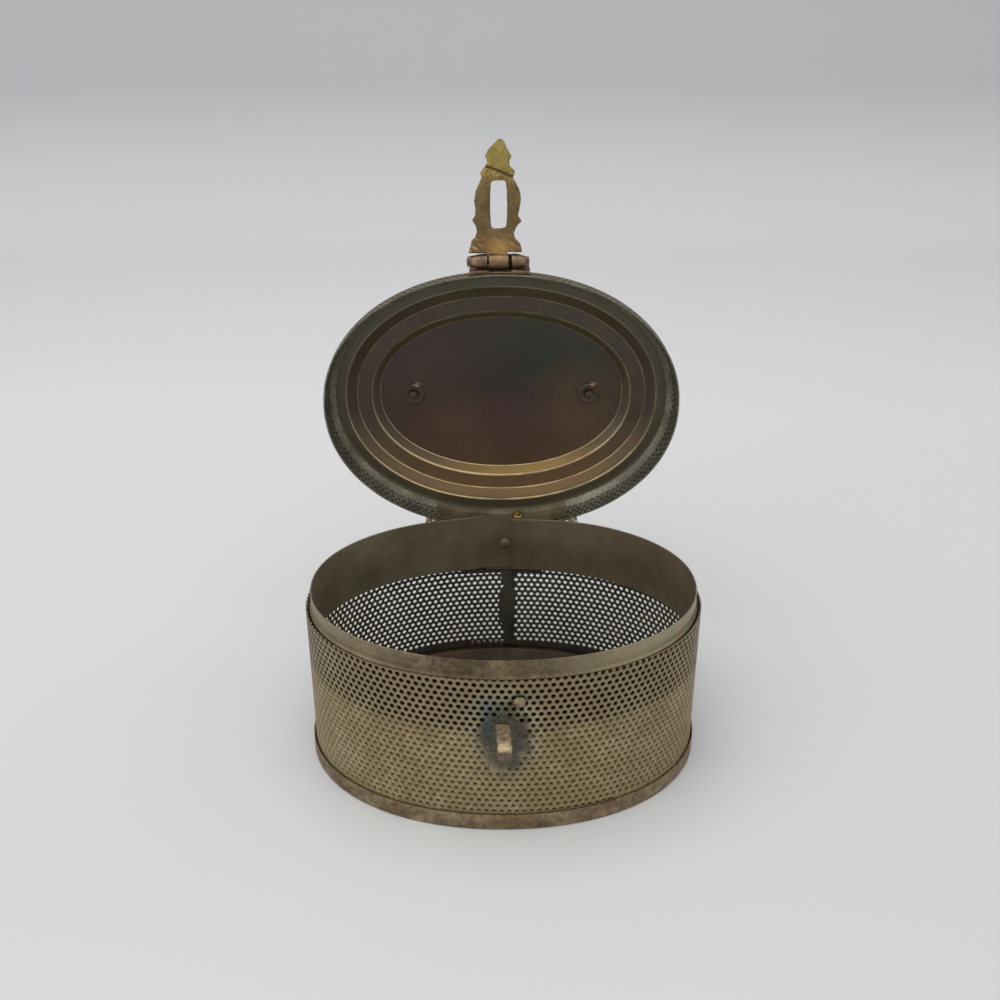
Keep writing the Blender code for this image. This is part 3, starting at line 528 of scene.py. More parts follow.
heatTint = {
    # panel tints: place from the panel's middle and reach, both as x and height in mm, then colour and share
    "panel": "#3f3731",
    "tints": (
        ((14.0, 9.0), (19.0, 13.0), "#2d342d", 0.9),
        ((12.0, 11.0), (5.0, 6.0), "#22392c", 0.5),
        ((-14.0, 10.0), (13.0, 9.0), "#3f3335", 0.8),
        ((0.0, 3.0), (12.0, 12.0), "#2f2f2b", 0.8),
        ((0.0, -22.0), (34.0, 12.0), "#6a523a", 0.75),
        ((-20.0, -3.0), (15.0, 16.0), "#4d3d35", 0.75),
        ((-9.0, -14.0), (13.0, 9.0), "#70503f", 0.8),
        ((11.0, -10.0), (14.0, 10.0), "#503a44", 0.8),
        ((24.0, -11.0), (12.0, 14.0), "#6a5439", 0.8),
    ),
    "through": 1000,  # reach through the sheet: the tint is the same at any depth
    # flats, slopes and fold lines carry painted light: their colours grow mostly lighter towards the bottom,
    # where the lower steps face up to the light
    "levels": (0.0, 0.58, 1.0),  # top, middle and bottom, for the flats, slopes and wear
    "litFlats": ("#4a4436", "#4b4134", "#a37f58"),
    "litSlopes": ("#665a42", "#453b2e", "#6a5636"),
    "wearAndShine": ("#857a60", "#8a7a60", "#ffe2a6"),
    "rim": "#524e3d",
    # a painted golden highlight on the lower slopes: place, reach and colour
    "goldGlint": ((8.0, -25.0), (22.0, 9.0), "#7b6129"),
    # painted highlights above the washers: place from the ear, reach, and a colour for each
    "washerGlints": ((1.4, 3.3), (1.1, 1.2, 0.6), ("#8c8175", "#bd9076")),
}


def heatTintedBrass(middleZ, rise):
    # Inside of the pressed lid: thin oxide films over brass, dull enough to show green, violet and red
    # browns.
    # Over them lies painted light: a golden painted highlight on the lower slopes, flats and slopes painted
    # lighter towards the bottom, and thin bright fold lines that are partly wear and partly painted
    # highlight.
    look = dict(
        collarLook, base="#4a4036", dark="#3e362f", light="#57493a", cast="#4a3c32", castShare=0.5,
        roughness=(0.34, 0.46), mottleShare=0.22, spotShare=0.3, spot="#302823", dents=0.35, metallic=0.45,
    )
    made = tarnishedBrass("heatTintedBrass", look)
    tree, through = made["tree"], heatTint["through"]
    # painted light: the lid's inside is coloured by height, lighter towards the bottom
    height = fade(made, "Z", middleZ + 32, middleZ - 34)
    shades = {}
    for part in ("litFlats", "litSlopes", "wearAndShine"):
        stops = list(zip(heatTint["levels"], heatTint[part]))
        shades[part] = addNode(tree, "ShaderNodeValToRGB", [height], stops=stops)
    paint(made, shades["litFlats"], 0.6)
    panel = dict(made, colour=fromHex(heatTint["panel"]))
    for (x, z), (wide, high), code, strength in heatTint["tints"]:
        paint(panel, code, spotShade(made, (x, 0, middleZ + z), (wide, through, high), 0.85, 0.5), strength)
    panelY = (topHigh.y - sheet["thickness"]) / mm
    paint(made, panel["colour"], fade(made, "Y", panelY - rise * 0.6, panelY - 0.2), 0.85)
    # painted light: slope faces are told apart by the way they face and take their own lit colour
    facing = addNode(tree, "ShaderNodeNewGeometry", out="Normal")
    turned = {"vector_type": "NORMAL", "convert_from": "WORLD", "convert_to": "OBJECT"}
    local = addNode(tree, "ShaderNodeVectorTransform", [facing], **turned)
    flatness = addNode(tree, "ShaderNodeSeparateXYZ", [local], "Y")
    tilt = addNode(tree, "ShaderNodeMath", [flatness], operation="ABSOLUTE")
    onStep = addNode(tree, "ShaderNodeMapRange", [tilt, 0.97, 0.86, 0.0, 0.85])
    # painted highlight: a golden glow on the lower slopes
    (x, z), (wide, tall), code = heatTint["goldGlint"]
    litSlopes = dict(made, colour=shades["litSlopes"])
    paint(litSlopes, code, spotShade(made, (x, 0, middleZ + z), (wide, through, tall), 0.4, 0.5))
    paint(made, litSlopes["colour"], onStep)
    rimY = panelY - rise - lidTop["lowRise"] / mm
    paint(made, heatTint["rim"], fade(made, "Y", rimY + 0.5, rimY + 0.1, 0.9))
    # the folds' wear and painted highlight are broken unevenly, in grains and in longer stretches
    wornAndLit = drawn(made, "foldWearAndHighlight")
    uneven = addNode(tree, "ShaderNodeTexNoise", {"Vector": made["mm"], "Scale": 0.12, "Detail": 2})
    for cause, stops in ((made["grain"], [(0.3, 0.6), (0.5, 1.0)]), (uneven, [(0.35, 0.45), (0.55, 1.0)])):
        broken = addNode(tree, "ShaderNodeValToRGB", [cause], stops=stops)
        wornAndLit = addNode(tree, "ShaderNodeMath", [wornAndLit, broken], operation="MULTIPLY")
    paint(made, shades["wearAndShine"], wornAndLit)
    # painted highlights at the top of the washers
    (x, z), reach, codes = heatTint["washerGlints"]
    for node, code in zip(("handle_ear_left", "handle_ear_right"), codes):
        low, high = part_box(node)
        glintX = (low.x + high.x) / 2 / mm + x
        paint(made, code, spotShade(made, (glintX, panelY - 0.9, middleZ + z), reach, 0.4, 0.8))
    return closeFinish(made)


castSeam = {
    "height": 26.2,  # above the pin at the hasp's middle, in mm
    "across": 0.359,
    "up": 0.934,
    "groove": ([(0.2, 0.0), (0.42, 1.0), (0.52, 1.0), (0.68, 0.0)], "#463822", 0.8),
    "lip": ([(0.0, 0.0), (0.12, 1.0), (0.24, 0.0)], "#c9a86c", 0.4),
    "depth": 0.5 * mm,
}


def haspBrass():
    # Sand-cast yellow brass, pitted. Handling keeps the finial golden; the stems and knuckle stay brown.
    # A casting seam crosses it below the finial, and its base is scratched bright.
    made = tarnishedBrass("pittedCastBrass", castLook)
    tree = made["tree"]
    pin = haspAxis / mm
    paint(made, "#6a5640", fade(made, "Z", pin.z + 26.0, pin.z + 20.0, 0.7))
    paint(made, "#bba75f", fade(made, "Z", pin.z + 25.5, pin.z + 28.5, 0.4))
    base = fade(made, "Z", pin.z + 9.5, pin.z + 6.5, 0.6)
    paint(made, "#8a6a45", base)
    paint(made, "#bc955a", spotShade(made, pin + Vector((-0.2, 0, 3.7)), (3.6, 5.0, 2.6), 0.6, 1.2), 0.75)
    slanted = {0: made["mm"], "Rotation": (0, 0.45, 0), "Scale": (3.0, 1, 0.5)}
    slanted = addNode(tree, "ShaderNodeMapping", slanted, vector_type="TEXTURE")
    streaks = addNode(tree, "ShaderNodeTexNoise", {"Vector": slanted, "Scale": 0.9, "Detail": 3})
    scratches = addNode(tree, "ShaderNodeValToRGB", [streaks], stops=[(0.58, 0.0), (0.66, 0.9)])
    paint(made, "#d9bd84", scratches, base)
    paint(made, "#7a6654", fade(made, "Z", pin.z + 2.8, pin.z + 1.4, 0.7))
    # the seam runs down to the right; its height is taken along the slant, then roughened
    start = pin + Vector((0, 0, castSeam["height"]))
    away = addNode(tree, "ShaderNodeVectorMath", [made["mm"], start], operation="SUBTRACT")
    slant = (castSeam["across"], 0, castSeam["up"])
    fromSeam = addNode(tree, "ShaderNodeVectorMath", [away, slant], "Value", operation="DOT_PRODUCT")
    roughened = addNode(tree, "ShaderNodeMath", [made["grain"], 1.6, -0.8], operation="MULTIPLY_ADD")
    wavy = addNode(tree, "ShaderNodeMath", [roughened, fromSeam], operation="ADD")
    wavy = addNode(tree, "ShaderNodeMath", [wavy, 0.5, 0.5], operation="MULTIPLY_ADD")
    cut = {}
    for part in ("groove", "lip"):
        stops, code, share = castSeam[part]
        cut[part] = addNode(tree, "ShaderNodeValToRGB", [wavy], stops=stops)
        paint(made, code, cut[part], share)
    relief = {"Height": cut["groove"], "Strength": 0.8, "Distance": -castSeam["depth"]}
    made["normal"] = addNode(tree, "ShaderNodeBump", {**relief, "Normal": made["normal"]})
    return closeFinish(made)


staple = {
    "edge": 0.35 * mm,
    "brow": 1.3 * mm,  # the upper front edge, rounded off by the hasp
    "browFall": 0.9 * mm,
    "unevenness": 0.12 * mm,
    "lean": 0.25 * mm,
    "solderSteps": 36,
    "solderRings": 5,
}


def stapleBrass():
    # Cut from bar: grey brown above, with a painted highlight on its rounded brow, where the hasp also rubs,
    # and painted shade that makes it darker brown below.
    look = dict(
        castLook, base="#9c8970", dark="#74644f", light="#bba888", cast="#96775f", patchSize=1.3,
        spotShare=0.35, mottleShare=0.55, bump=0.7, metallic=0.6,
    )
    made = tarnishedBrass("barBrassWithPaintedLight", look)
    top = stapleHigh.z / mm
    # painted shade: darker brown below the top
    paint(made, "#604a3a", fade(made, "Z", top - 1.6, top - 2.4, 0.8))
    brow = (stapleX / mm + staple["lean"] / mm, stapleLow.y / mm + 0.4, top - 1.0)
    # painted highlight on the rounded brow
    paint(made, "#c2ad8a", spotShade(made, brow, (1.9, 1.1, 0.62), 0.5, 1.0))
    return closeFinish(made)


finishes = {
    key: closeFinish(tarnishedBrass(name, dict(look, **changes)))
    for key, (name, look, changes) in plainFinishes.items()
}
lidSideLook = dict(khakiLook, base="#857a5d", dark="#766c52", light="#938869")
finishes.update(
    wall=wallBrass(),
    collar=collarBrass(),
    collarInside=darkCollarBrass(),
    floor=floorBrass(),
    lidMesh=lidMeshBrass("darkPiercedBrass", lidLook),
    lidSide=lidMeshBrass("shadedKhakiBrass", lidSideLook),
    hasp=haspBrass(),
    staple=stapleBrass(),
)
print("finishes made")


# Pierced sheet, by Geometry Nodes

sheetInputs = (
    ("Path", "NodeSocketGeometry"),
    ("Profile", "NodeSocketObject"),
    ("Pierced Cell", "NodeSocketObject"),
    ("Choked Cell", "NodeSocketObject"),
    ("Plain Cell", "NodeSocketObject"),
    ("Hole Pitch", "NodeSocketFloat"),
    ("Row Pitch", "NodeSocketFloat"),
    ("Columns", "NodeSocketInt"),
    ("Rows", "NodeSocketInt"),
    ("First Column", "NodeSocketFloat"),
    ("First Row", "NodeSocketFloat"),
    ("Row Slope", "NodeSocketFloat", 0.0),
    ("Strip Length", "NodeSocketFloat"),
    ("Strip Height", "NodeSocketFloat"),
    ("Plain Below", "NodeSocketFloat", 0.0),
    ("Plain Above", "NodeSocketFloat", 1.0),
    ("Choked Below", "NodeSocketFloat", 0.0),
    ("Choked Reach", "NodeSocketFloat", 0.0),
    ("Seam Margin", "NodeSocketFloat", 0.0),
    ("Solder Centre", "NodeSocketVector", (0, 0, 0)),
    ("Solder Reach", "NodeSocketVector", (0.001, 0.001, 1)),
    ("Ragged", "NodeSocketFloat", 0.0),
    ("Seed", "NodeSocketInt", 1),
    ("Finish", "NodeSocketMaterial"),
)
# Each sum has a name, an operation, and values that are numbers or names of inputs and earlier sums.
# X, Y and Z are the place of a point on whichever mesh the sum is used for.
gridSums = (
    ("columnGaps", "SUBTRACT", "Columns", 1.0),
    ("width", "MULTIPLY", "columnGaps", "Hole Pitch"),
    ("rowGaps", "SUBTRACT", "Rows", 1.0),
    ("height", "MULTIPLY", "rowGaps", "Row Pitch"),
    # odd rows move along by half a pitch
    ("fromLeft", "MULTIPLY_ADD", "width", 0.5, "X"),
    ("fromBottom", "MULTIPLY_ADD", "height", 0.5, "Y"),
    ("rowPlace", "DIVIDE", "fromBottom", "Row Pitch"),
    ("row", "ROUND", "rowPlace"),
    ("odd", "PINGPONG", "row", 1.0),
    ("halfPitch", "MULTIPLY", "Hole Pitch", 0.5),
    ("stagger", "MULTIPLY", "odd", "halfPitch"),
    ("staggered", "ADD", "fromLeft", "stagger"),
    ("cellX", "ADD", "staggered", "First Column"),
    ("cellY", "ADD", "fromBottom", "First Row"),
    # rows climb with the slope of the strip
    ("fromMiddle", "MULTIPLY_ADD", "Strip Length", -0.5, "X"),
    ("climbed", "MULTIPLY_ADD", "fromMiddle", "Row Slope", "Y"),
)
# cells are left plain below and above a height, along the seam, and where solder has run into the holes
kindSums = (
    ("unevenness", "SUBTRACT", "noise", 0.5),
    ("wobble", "MULTIPLY", "unevenness", "Ragged"),
    ("solderEdge", "ADD", "fromSolder", "wobble"),
    ("soldered", "LESS_THAN", "solderEdge", 1.0),
    ("low", "LESS_THAN", "climbed", "Plain Below"),
    ("high", "GREATER_THAN", "climbed", "Plain Above"),
    ("marginShare", "ADD", "wobble", 1.0),
    ("margin", "MULTIPLY", "Seam Margin", "marginShare"),
    ("marginEnd", "SUBTRACT", "Strip Length", "margin"),
    ("nearStart", "LESS_THAN", "X", "margin"),
    ("nearEnd", "GREATER_THAN", "X", "marginEnd"),
    ("lowOrHigh", "MAXIMUM", "low", "high"),
    ("nearSeam", "MAXIMUM", "nearStart", "nearEnd"),
    ("atEdge", "MAXIMUM", "lowOrHigh", "nearSeam"),
    ("plain", "MAXIMUM", "soldered", "atEdge"),
    ("sideways", "ABSOLUTE", "fromMiddle"),
    ("inFront", "LESS_THAN", "sideways", "Choked Reach"),
    ("dirty", "LESS_THAN", "climbed", "Choked Below"),
    ("choked", "MULTIPLY", "dirty", "inFront"),
    ("plainKind", "MULTIPLY", "plain", 2.0),
    ("kind", "MAXIMUM", "plainKind", "choked"),  # 0 pierced, 1 choked, 2 plain
)
trimSums = (
    ("afterStart", "MAXIMUM", "X", 0.0),
    ("trimmedX", "MINIMUM", "afterStart", "Strip Length"),
    ("overFoot", "MAXIMUM", "climbed", 0.0),
    ("trimmedY", "MINIMUM", "overFoot", "Strip Height"),
)


def workOut(tree, known, sums):
    for name, operation, *values in sums:
        taken = [known[value] if isinstance(value, str) else value for value in values]
        known[name] = addNode(tree, "ShaderNodeMath", taken, operation=operation)


def piercedSheetTree():
    # Lays a staggered grid of pierced cells flat, trims it, and bends it along an oval path and up a profile.
    tree = bpy.data.node_groups.new("piercedSheet", "GeometryNodeTree")
    for name, kind, *value in sheetInputs:
        made = tree.interface.new_socket(name, in_out="INPUT", socket_type=kind)
        if value:
            made.default_value = value[0]
    tree.interface.new_socket("Sheet", in_out="OUTPUT", socket_type="NodeSocketGeometry")
    known = {socket.name: socket for socket in addNode(tree, "NodeGroupInput").node.outputs}
    point = addNode(tree, "GeometryNodeInputPosition")
    known.update((part.name, part) for part in addNode(tree, "ShaderNodeSeparateXYZ", [point]).node.outputs)
    workOut(tree, known, gridSums)
    size = {"Size X": known["width"], "Size Y": known["height"]}
    size.update({"Vertices X": known["Columns"], "Vertices Y": known["Rows"]})
    grid = addNode(tree, "GeometryNodeMeshGrid", size, "Mesh")
    cellPlace = addNode(tree, "ShaderNodeCombineXYZ", [known["cellX"], known["cellY"]])
    laid = addNode(tree, "GeometryNodeSetPosition", {"Geometry": grid, "Position": cellPlace})

    speckle = {"Vector": point, "W": known["Seed"], "Scale": 260.0, "Detail": 1.0}
    known["noise"] = addNode(tree, "ShaderNodeTexNoise", speckle, noise_dimensions="4D")
    level = addNode(tree, "ShaderNodeCombineXYZ", [known["X"], known["climbed"]])
    away = addNode(tree, "ShaderNodeVectorMath", [level, known["Solder Centre"]], operation="SUBTRACT")
    share = addNode(tree, "ShaderNodeVectorMath", [away, known["Solder Reach"]], operation="DIVIDE")
    known["fromSolder"] = addNode(tree, "ShaderNodeVectorMath", [share], "Value", operation="LENGTH")
    workOut(tree, known, kindSums)
    joined = addNode(tree, "GeometryNodeJoinGeometry")
    for number, pattern in enumerate(("Pierced Cell", "Choked Cell", "Plain Cell")):
        wanted = {0: known["kind"], 1: number, "Epsilon": 0.1}
        selection = addNode(tree, "FunctionNodeCompare", wanted, operation="EQUAL")
        shape = addNode(tree, "GeometryNodeObjectInfo", {"Object": known[pattern]}, "Geometry")
        copies = {"Points": laid, "Selection": selection, "Instance": shape}
        tree.links.new(addNode(tree, "GeometryNodeInstanceOnPoints", copies), joined.node.inputs[0])
    real = addNode(tree, "GeometryNodeRealizeInstances", [joined])
    welded = addNode(tree, "GeometryNodeMergeByDistance", {"Geometry": real, "Distance": 0.02 * mm})
    workOut(tree, known, trimSums)
    inside = addNode(tree, "ShaderNodeCombineXYZ", [known["trimmedX"], known["trimmedY"], known["Z"]])
    trimmed = addNode(tree, "GeometryNodeSetPosition", {"Geometry": welded, "Position": inside})

    # bend: the path gives the place along the oval, the profile gives how far out and how high
    whole = {"mode": "LENGTH", "use_all_curves": True}
    along = {"Curves": known["Path"], "Length": known["X"]}
    along = addNode(tree, "GeometryNodeSampleCurve", along, **whole).node.outputs
    upright = addNode(tree, "GeometryNodeObjectInfo", {"Object": known["Profile"]}, "Geometry")
    upright = {"Curves": upright, "Length": known["Y"]}
    upright = addNode(tree, "GeometryNodeSampleCurve", upright, "Position", **whole)
    rise = addNode(tree, "ShaderNodeSeparateXYZ", [upright]).node.outputs
    out = addNode(tree, "ShaderNodeVectorMath", [along["Tangent"], (0, 0, 1)], operation="CROSS_PRODUCT")
    distance = addNode(tree, "ShaderNodeMath", [rise["X"], known["Z"]], operation="ADD")
    outward = addNode(tree, "ShaderNodeVectorMath", {0: out, "Scale": distance}, operation="SCALE")
    moved = addNode(tree, "ShaderNodeVectorMath", [along["Position"], outward], operation="ADD")
    lift = addNode(tree, "ShaderNodeCombineXYZ", {2: rise["Z"]})
    bent = addNode(tree, "ShaderNodeVectorMath", [moved, lift], operation="ADD")
    shaped = addNode(tree, "GeometryNodeSetPosition", {"Geometry": trimmed, "Position": bent})
    finished = addNode(tree, "GeometryNodeSetMaterial", {"Geometry": shaped, "Material": known["Finish"]})
    addNode(tree, "NodeGroupOutput", [finished])
    return tree


def cellPattern(name, holeWidth, lip=None):
    # one flat six-sided cell of the sheet, with its hole if it has one, and dirt in the hole if it has a lip
    work = bmesh.new()
    grime = work.verts.layers.float.new("holeGrime")
    reach = sheet["holePitch"] / math.sqrt(3)
    rimTurns = spread(math.pi / 6, math.pi * 11 / 6, 5)
    rim = [work.verts.new((reach * math.cos(a), reach * math.sin(a), 0)) for a in rimTurns]
    if not holeWidth:
        work.faces.new(rim)
    else:
        sides, radius = sheet["chokedSides" if lip else "holeSides"], holeWidth / 2
        rimTurns = [math.pi / 6 + math.pi / 3 * k for k in range(7)]
        holeTurns = [math.pi / 6 + 2 * math.pi / sides * k for k in range(sides + 1)]
        hole = [work.verts.new((radius * math.cos(a), radius * math.sin(a), 0)) for a in holeTurns[:-1]]
        i = j = 0
        while i < 6 or j < sides:
            if j >= sides or (i < 6 and rimTurns[i + 1] <= holeTurns[j + 1]):
                work.faces.new((rim[i % 6], rim[(i + 1) % 6], hole[j % sides]))
                i += 1
            else:
                work.faces.new((rim[i % 6], hole[(j + 1) % sides], hole[j % sides]))
                j += 1
        for vert in hole:
            vert[grime] = 0.45
        if lip:
            core = [work.verts.new((v.co.x * lip[0], v.co.y * lip[0], -lip[1])) for v in hole]
            for k, vert in enumerate(core):
                vert[grime] = 0.9
                work.faces.new((hole[k - 1], vert, core[k - 1]))
                work.faces.new((hole[k - 1], hole[k], vert))
    mesh = bpy.data.meshes.new(name)
    work.to_mesh(mesh)
    work.free()
    return bpy.data.objects.new(name, mesh)


def lineCurve(name, points):
    curve = bpy.data.curves.new(name, "CURVE")
    curve.dimensions = "3D"
    spline = curve.splines.new("POLY")
    spline.points.add(len(points) - 1)
    for point, spot in zip(spline.points, points):
        point.co = (*spot, 1)
    made = bpy.data.objects.new(name, curve)
    bpy.context.scene.collection.objects.link(made)
    return made


def lineLength(points):
    return sum((Vector(b) - Vector(a)).length for a, b in zip(points, points[1:]))


piercedTree = piercedSheetTree()
wallCell = cellPattern("wallCell", sheet["wallHole"])
chokedCell = cellPattern("chokedCell", sheet["wallHole"], sheet["chokedLip"])
lidCell = cellPattern("lidCell", sheet["lidHole"])
plainCell = cellPattern("plainCell", 0)


def pierceAlong(name, turns, profile, finish, **inputs):
    # bends pierced sheet along the turns of the oval; profile is inset and height, from the bottom up
    path = [(*ovalPoint(turn), 0) for turn in turns]
    riser = [(-inset, 0, z) for inset, z in profile]
    length, height = lineLength(path), lineLength(riser)
    host = lineCurve(name + "Path", path)
    profileCurve = lineCurve(name + "Profile", riser)
    columns = math.ceil(length / sheet["holePitch"]) + 2
    values = {
        "Profile": profileCurve, "Pierced Cell": lidCell, "Choked Cell": chokedCell, "Plain Cell": plainCell,
        "Hole Pitch": sheet["holePitch"], "Row Pitch": rowPitch, "Columns": columns,
        "Strip Length": length, "Strip Height": height, "Finish": finish,
        "First Row": 0.0,
        "First Column": (length - (columns - 1) * sheet["holePitch"]) / 2 - sheet["holePitch"] / 4,
    }
    values.update(inputs)
    lean = abs(values.get("Row Slope", 0)) * length / 2
    spare = math.ceil((values["First Row"] + lean) / rowPitch)  # rows that the slope brings in from below
    values["First Row"] -= 2 * math.ceil(spare / 2) * rowPitch
    values["Rows"] = math.ceil((height + lean - values["First Row"]) / rowPitch) + 2
    modifier = host.modifiers.new("pierce", "NODES")
    modifier.node_group = piercedTree
    for item in piercedTree.interface.items_tree:
        if item.item_type == "SOCKET" and item.in_out == "INPUT" and item.name in values:
            modifier[item.identifier] = values[item.name]
    mesh = shapedMesh(host)
    for spent in (host, profileCurve):
        bpy.data.objects.remove(spent, do_unlink=True)
    work = bmesh.new()
    work.from_mesh(mesh)
    bpy.data.meshes.remove(mesh)
    # cells trimmed to nothing along an edge, or folded over there, go: holes end as shears would cut them
    spent = []
    for face in work.faces:
        heights = [vert.co.z for vert in face.verts]
        folded = face.normal.dot(face.calc_center_median() * Vector((1, 1, 0))) <= 0
        small = face.calc_area() < sheet["sliverArea"] or max(heights) - min(heights) < sheet["sliverHeight"]
        if folded or small:
            spent.append(face)
    bmesh.ops.delete(work, geom=spent, context="FACES")
    bmesh.ops.delete(work, geom=[v for v in work.verts if not v.link_faces], context="VERTS")
    for face in work.faces:
        face.material_index = 0
    return work


def thicken(name, work, finishPair, thickness, cutFinish=0):
    # gives pierced sheet its thickness, with the second finish inside and either of them where it is cut
    angle = 40
    piece = keepMesh(name, work, finishPair, angle)
    solid = piece.modifiers.new("thickness", "SOLIDIFY")
    solid.thickness = thickness
    solid.offset = -1
    solid.material_offset = 1
    solid.material_offset_rim = cutFinish
    mesh = shapedMesh(piece)
    piece.modifiers.clear()
    old = piece.data
    piece.data = mesh
    bpy.data.meshes.remove(old)
    mesh.name = name
    smoothMesh(mesh, angle)
    return piece


# Tray

tray = {
    "bandHeight": trayHigh.z,
    "cornerRadius": 0.7 * mm,
    "riserInset": 1.1 * mm,
    "ridgeHeight": 4.6 * mm,
    "ridgeWidth": 2.2 * mm,
    "slopeWidth": 3.4 * mm,
    "panelWidth": 2.0 * mm,  # past the slope, before the flat panel closes the middle
    "lip": 0.1 * mm,  # chamfer of the band's edge
    "cornerSteps": 4,
}


def makeTray():
    t, gap = sheet["thickness"], sheet["gap"]
    crest = tray["riserInset"] + tray["ridgeWidth"]
    panel = crest + tray["slopeWidth"]
    under = tray["ridgeHeight"] - t
    path = [
        (-gap - t, tray["bandHeight"] - tray["lip"] * 1.5),
        (-gap - t, 0),
        (tray["riserInset"], 0),
        (tray["riserInset"], under),
        (crest, under),
        (panel, 0),
        (panel + tray["panelWidth"], 0),
    ]
    soft = softCorners(path, tray["cornerRadius"], tray["cornerSteps"])
    upper = offsetPath(soft, t)
    edge = ((soft[0][0], 1), (upper[0][0], -1))
    top = [(inset + way * tray["lip"], tray["bandHeight"]) for inset, way in edge]
    profile = soft[::-1] + top + upper
    piece = sweepOval("baseTray", profile, (finishes["band"], finishes["floor"]), closedProfile=False)
    markFolds(piece, len(soft) + 1, tray["cornerSteps"], (4,))
    # inside the wall the tray keeps its heat colour
    power, inner = ovalShape["squareness"], 0.5 * mm
    for face in piece.data.polygons:
        across = abs(face.center.x) / (ovalShape["halfLength"] - inner)
        along = abs(face.center.y) / (ovalShape["halfWidth"] - inner)
        facesUp = face.normal.z > -0.2 and face.center.z > t / 2
        if facesUp and across**power + along**power < 1:
            face.material_index = 1
    place(piece, "box", "base_tray")


makeTray()
print("tray made")


# Wall

wall = {
    "seamX": 2.4 * mm,
    "rowHeight": 43.95 * mm,  # of one row of holes at the front's middle, which sets all the others
    "rowSlope": -0.0198,  # the strip was rolled a little askew, so its rows climb towards the left
    "lowestHole": 5.2 * mm,
    "dirtHeight": 31.5 * mm,
    "dirtReach": 74.0 * mm,  # either way from the front's middle
    "seamMargin": 1.9 * mm,
    "solderDrop": 3.9 * mm,  # solder ran down from the post
    "solderReach": (5.8 * mm, 9.4 * mm, 1.0),
}


def makeWall():
    bottom = wallLow.z
    seam = backTurn(wall["seamX"])
    turns = spread(seam, seam + 2 * math.pi, 2 * ovalShape["steps"])
    path = [(*ovalPoint(turn), 0) for turn in turns]
    front = min(range(len(path)), key=lambda k: (path[k][1], abs(path[k][0] - stapleX)))
    toStaple = lineLength(path[: front + 1]) + stapleX - path[front][0]
    rowsBelow = 2 * math.floor((wall["rowHeight"] - bottom) / rowPitch / 2)
    given = {
        "Pierced Cell": wallCell,
        "First Row": wall["rowHeight"] - bottom - rowsBelow * rowPitch,
        "Row Slope": wall["rowSlope"],
        "Plain Below": wall["lowestHole"] - bottom,
        "Choked Below": wall["dirtHeight"] - bottom,
        "Choked Reach": wall["dirtReach"],
        "Seam Margin": wall["seamMargin"],
        "Solder Centre": (toStaple, stapleZ - wall["solderDrop"] - bottom, 0),
        "Solder Reach": wall["solderReach"],
        "Ragged": 0.9,
        "Seed": 4,
    }
    work = pierceAlong("perforatedWall", turns, [(0, bottom), (0, wallTop)], finishes["wall"], **given)
    piece = thicken("perforatedWall", work, (finishes["wall"], finishes["wallInside"]), sheet["thickness"])
    place(piece, "box", "perforated_wall")
    print("wall triangles", sum(len(p.vertices) - 2 for p in piece.data.polygons))


makeWall()


# how far the strip reaches left and right of the seam at each height; solder has run out in its middle
seamStrip = {
    "steps": 60,
    "ragged": 0.3 * mm,
    "edges": (
        (3.0, 1.2, 0.8), (9.0, 1.1, 0.7), (11.5, 1.5, 1.6), (14.0, 2.6, 2.4), (20.0, 2.7, 2.6),
        (24.5, 2.5, 3.0), (27.0, 1.2, 1.6), (30.0, 1.9, 1.5), (36.0, 1.8, 1.5), (50.0, 1.8, 1.5),
    ),
}


def makeSeamStrip():
    low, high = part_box("wall_seam_strip")
    outer = sheet["thickness"] + sheet["gap"]
    middle = (low.x + high.x) / 2
    wave = random.Random(7)
    work = bmesh.new()
    sections = []
    for z in spread(low.z, high.z, seamStrip["steps"]):
        for below, above in zip(seamStrip["edges"], seamStrip["edges"][1:]):
            if below[0] * mm <= z <= above[0] * mm:
                share = smoothStep(below[0] * mm, above[0] * mm, z)
                left, right = ((below[k] + share * (above[k] - below[k])) * mm for k in (1, 2))
        left += wave.uniform(-0.5, 0.5) * seamStrip["ragged"]
        right += wave.uniform(-0.5, 0.5) * seamStrip["ragged"]
        xs = spread(middle - left, middle + right, 4)
        section = [(x, outer) for x in xs] + [(x, outer + sheet["thickness"]) for x in xs[::-1]]
        sections.append([Vector((*ovalPoint(backTurn(x), inset), z)) for x, inset in section])
    loftSections(work, sections)
    piece = keepMesh("wallSeamStrip", work, (finishes["wallInside"],))
    place(piece, "box", "wall_seam_strip")


makeSeamStrip()
print("wall made")


# Collar

collar = {
    "stepInset": 0.8 * mm,
    "bend": 0.8 * mm,
    "lapEnd": 3.0 * mm,
    "lapStart": -5.0 * mm,
    "lapRamp": 8.0 * mm,
    "lapLift": 0.8 * mm,
    "foldRadius": 0.6 * mm,
    "edge": 0.14 * mm,  # how much of its height each rounded edge takes
    "footEdge": 0.12 * mm,
    "crownEdge": 0.1 * mm,
    "innerFade": 12.0 * mm,  # inside, the step is hammered out over this height
    "sag": 0.8 * mm,  # the rim's right end sits lower than the end that laps it
    "sagReach": 34.0 * mm,
}


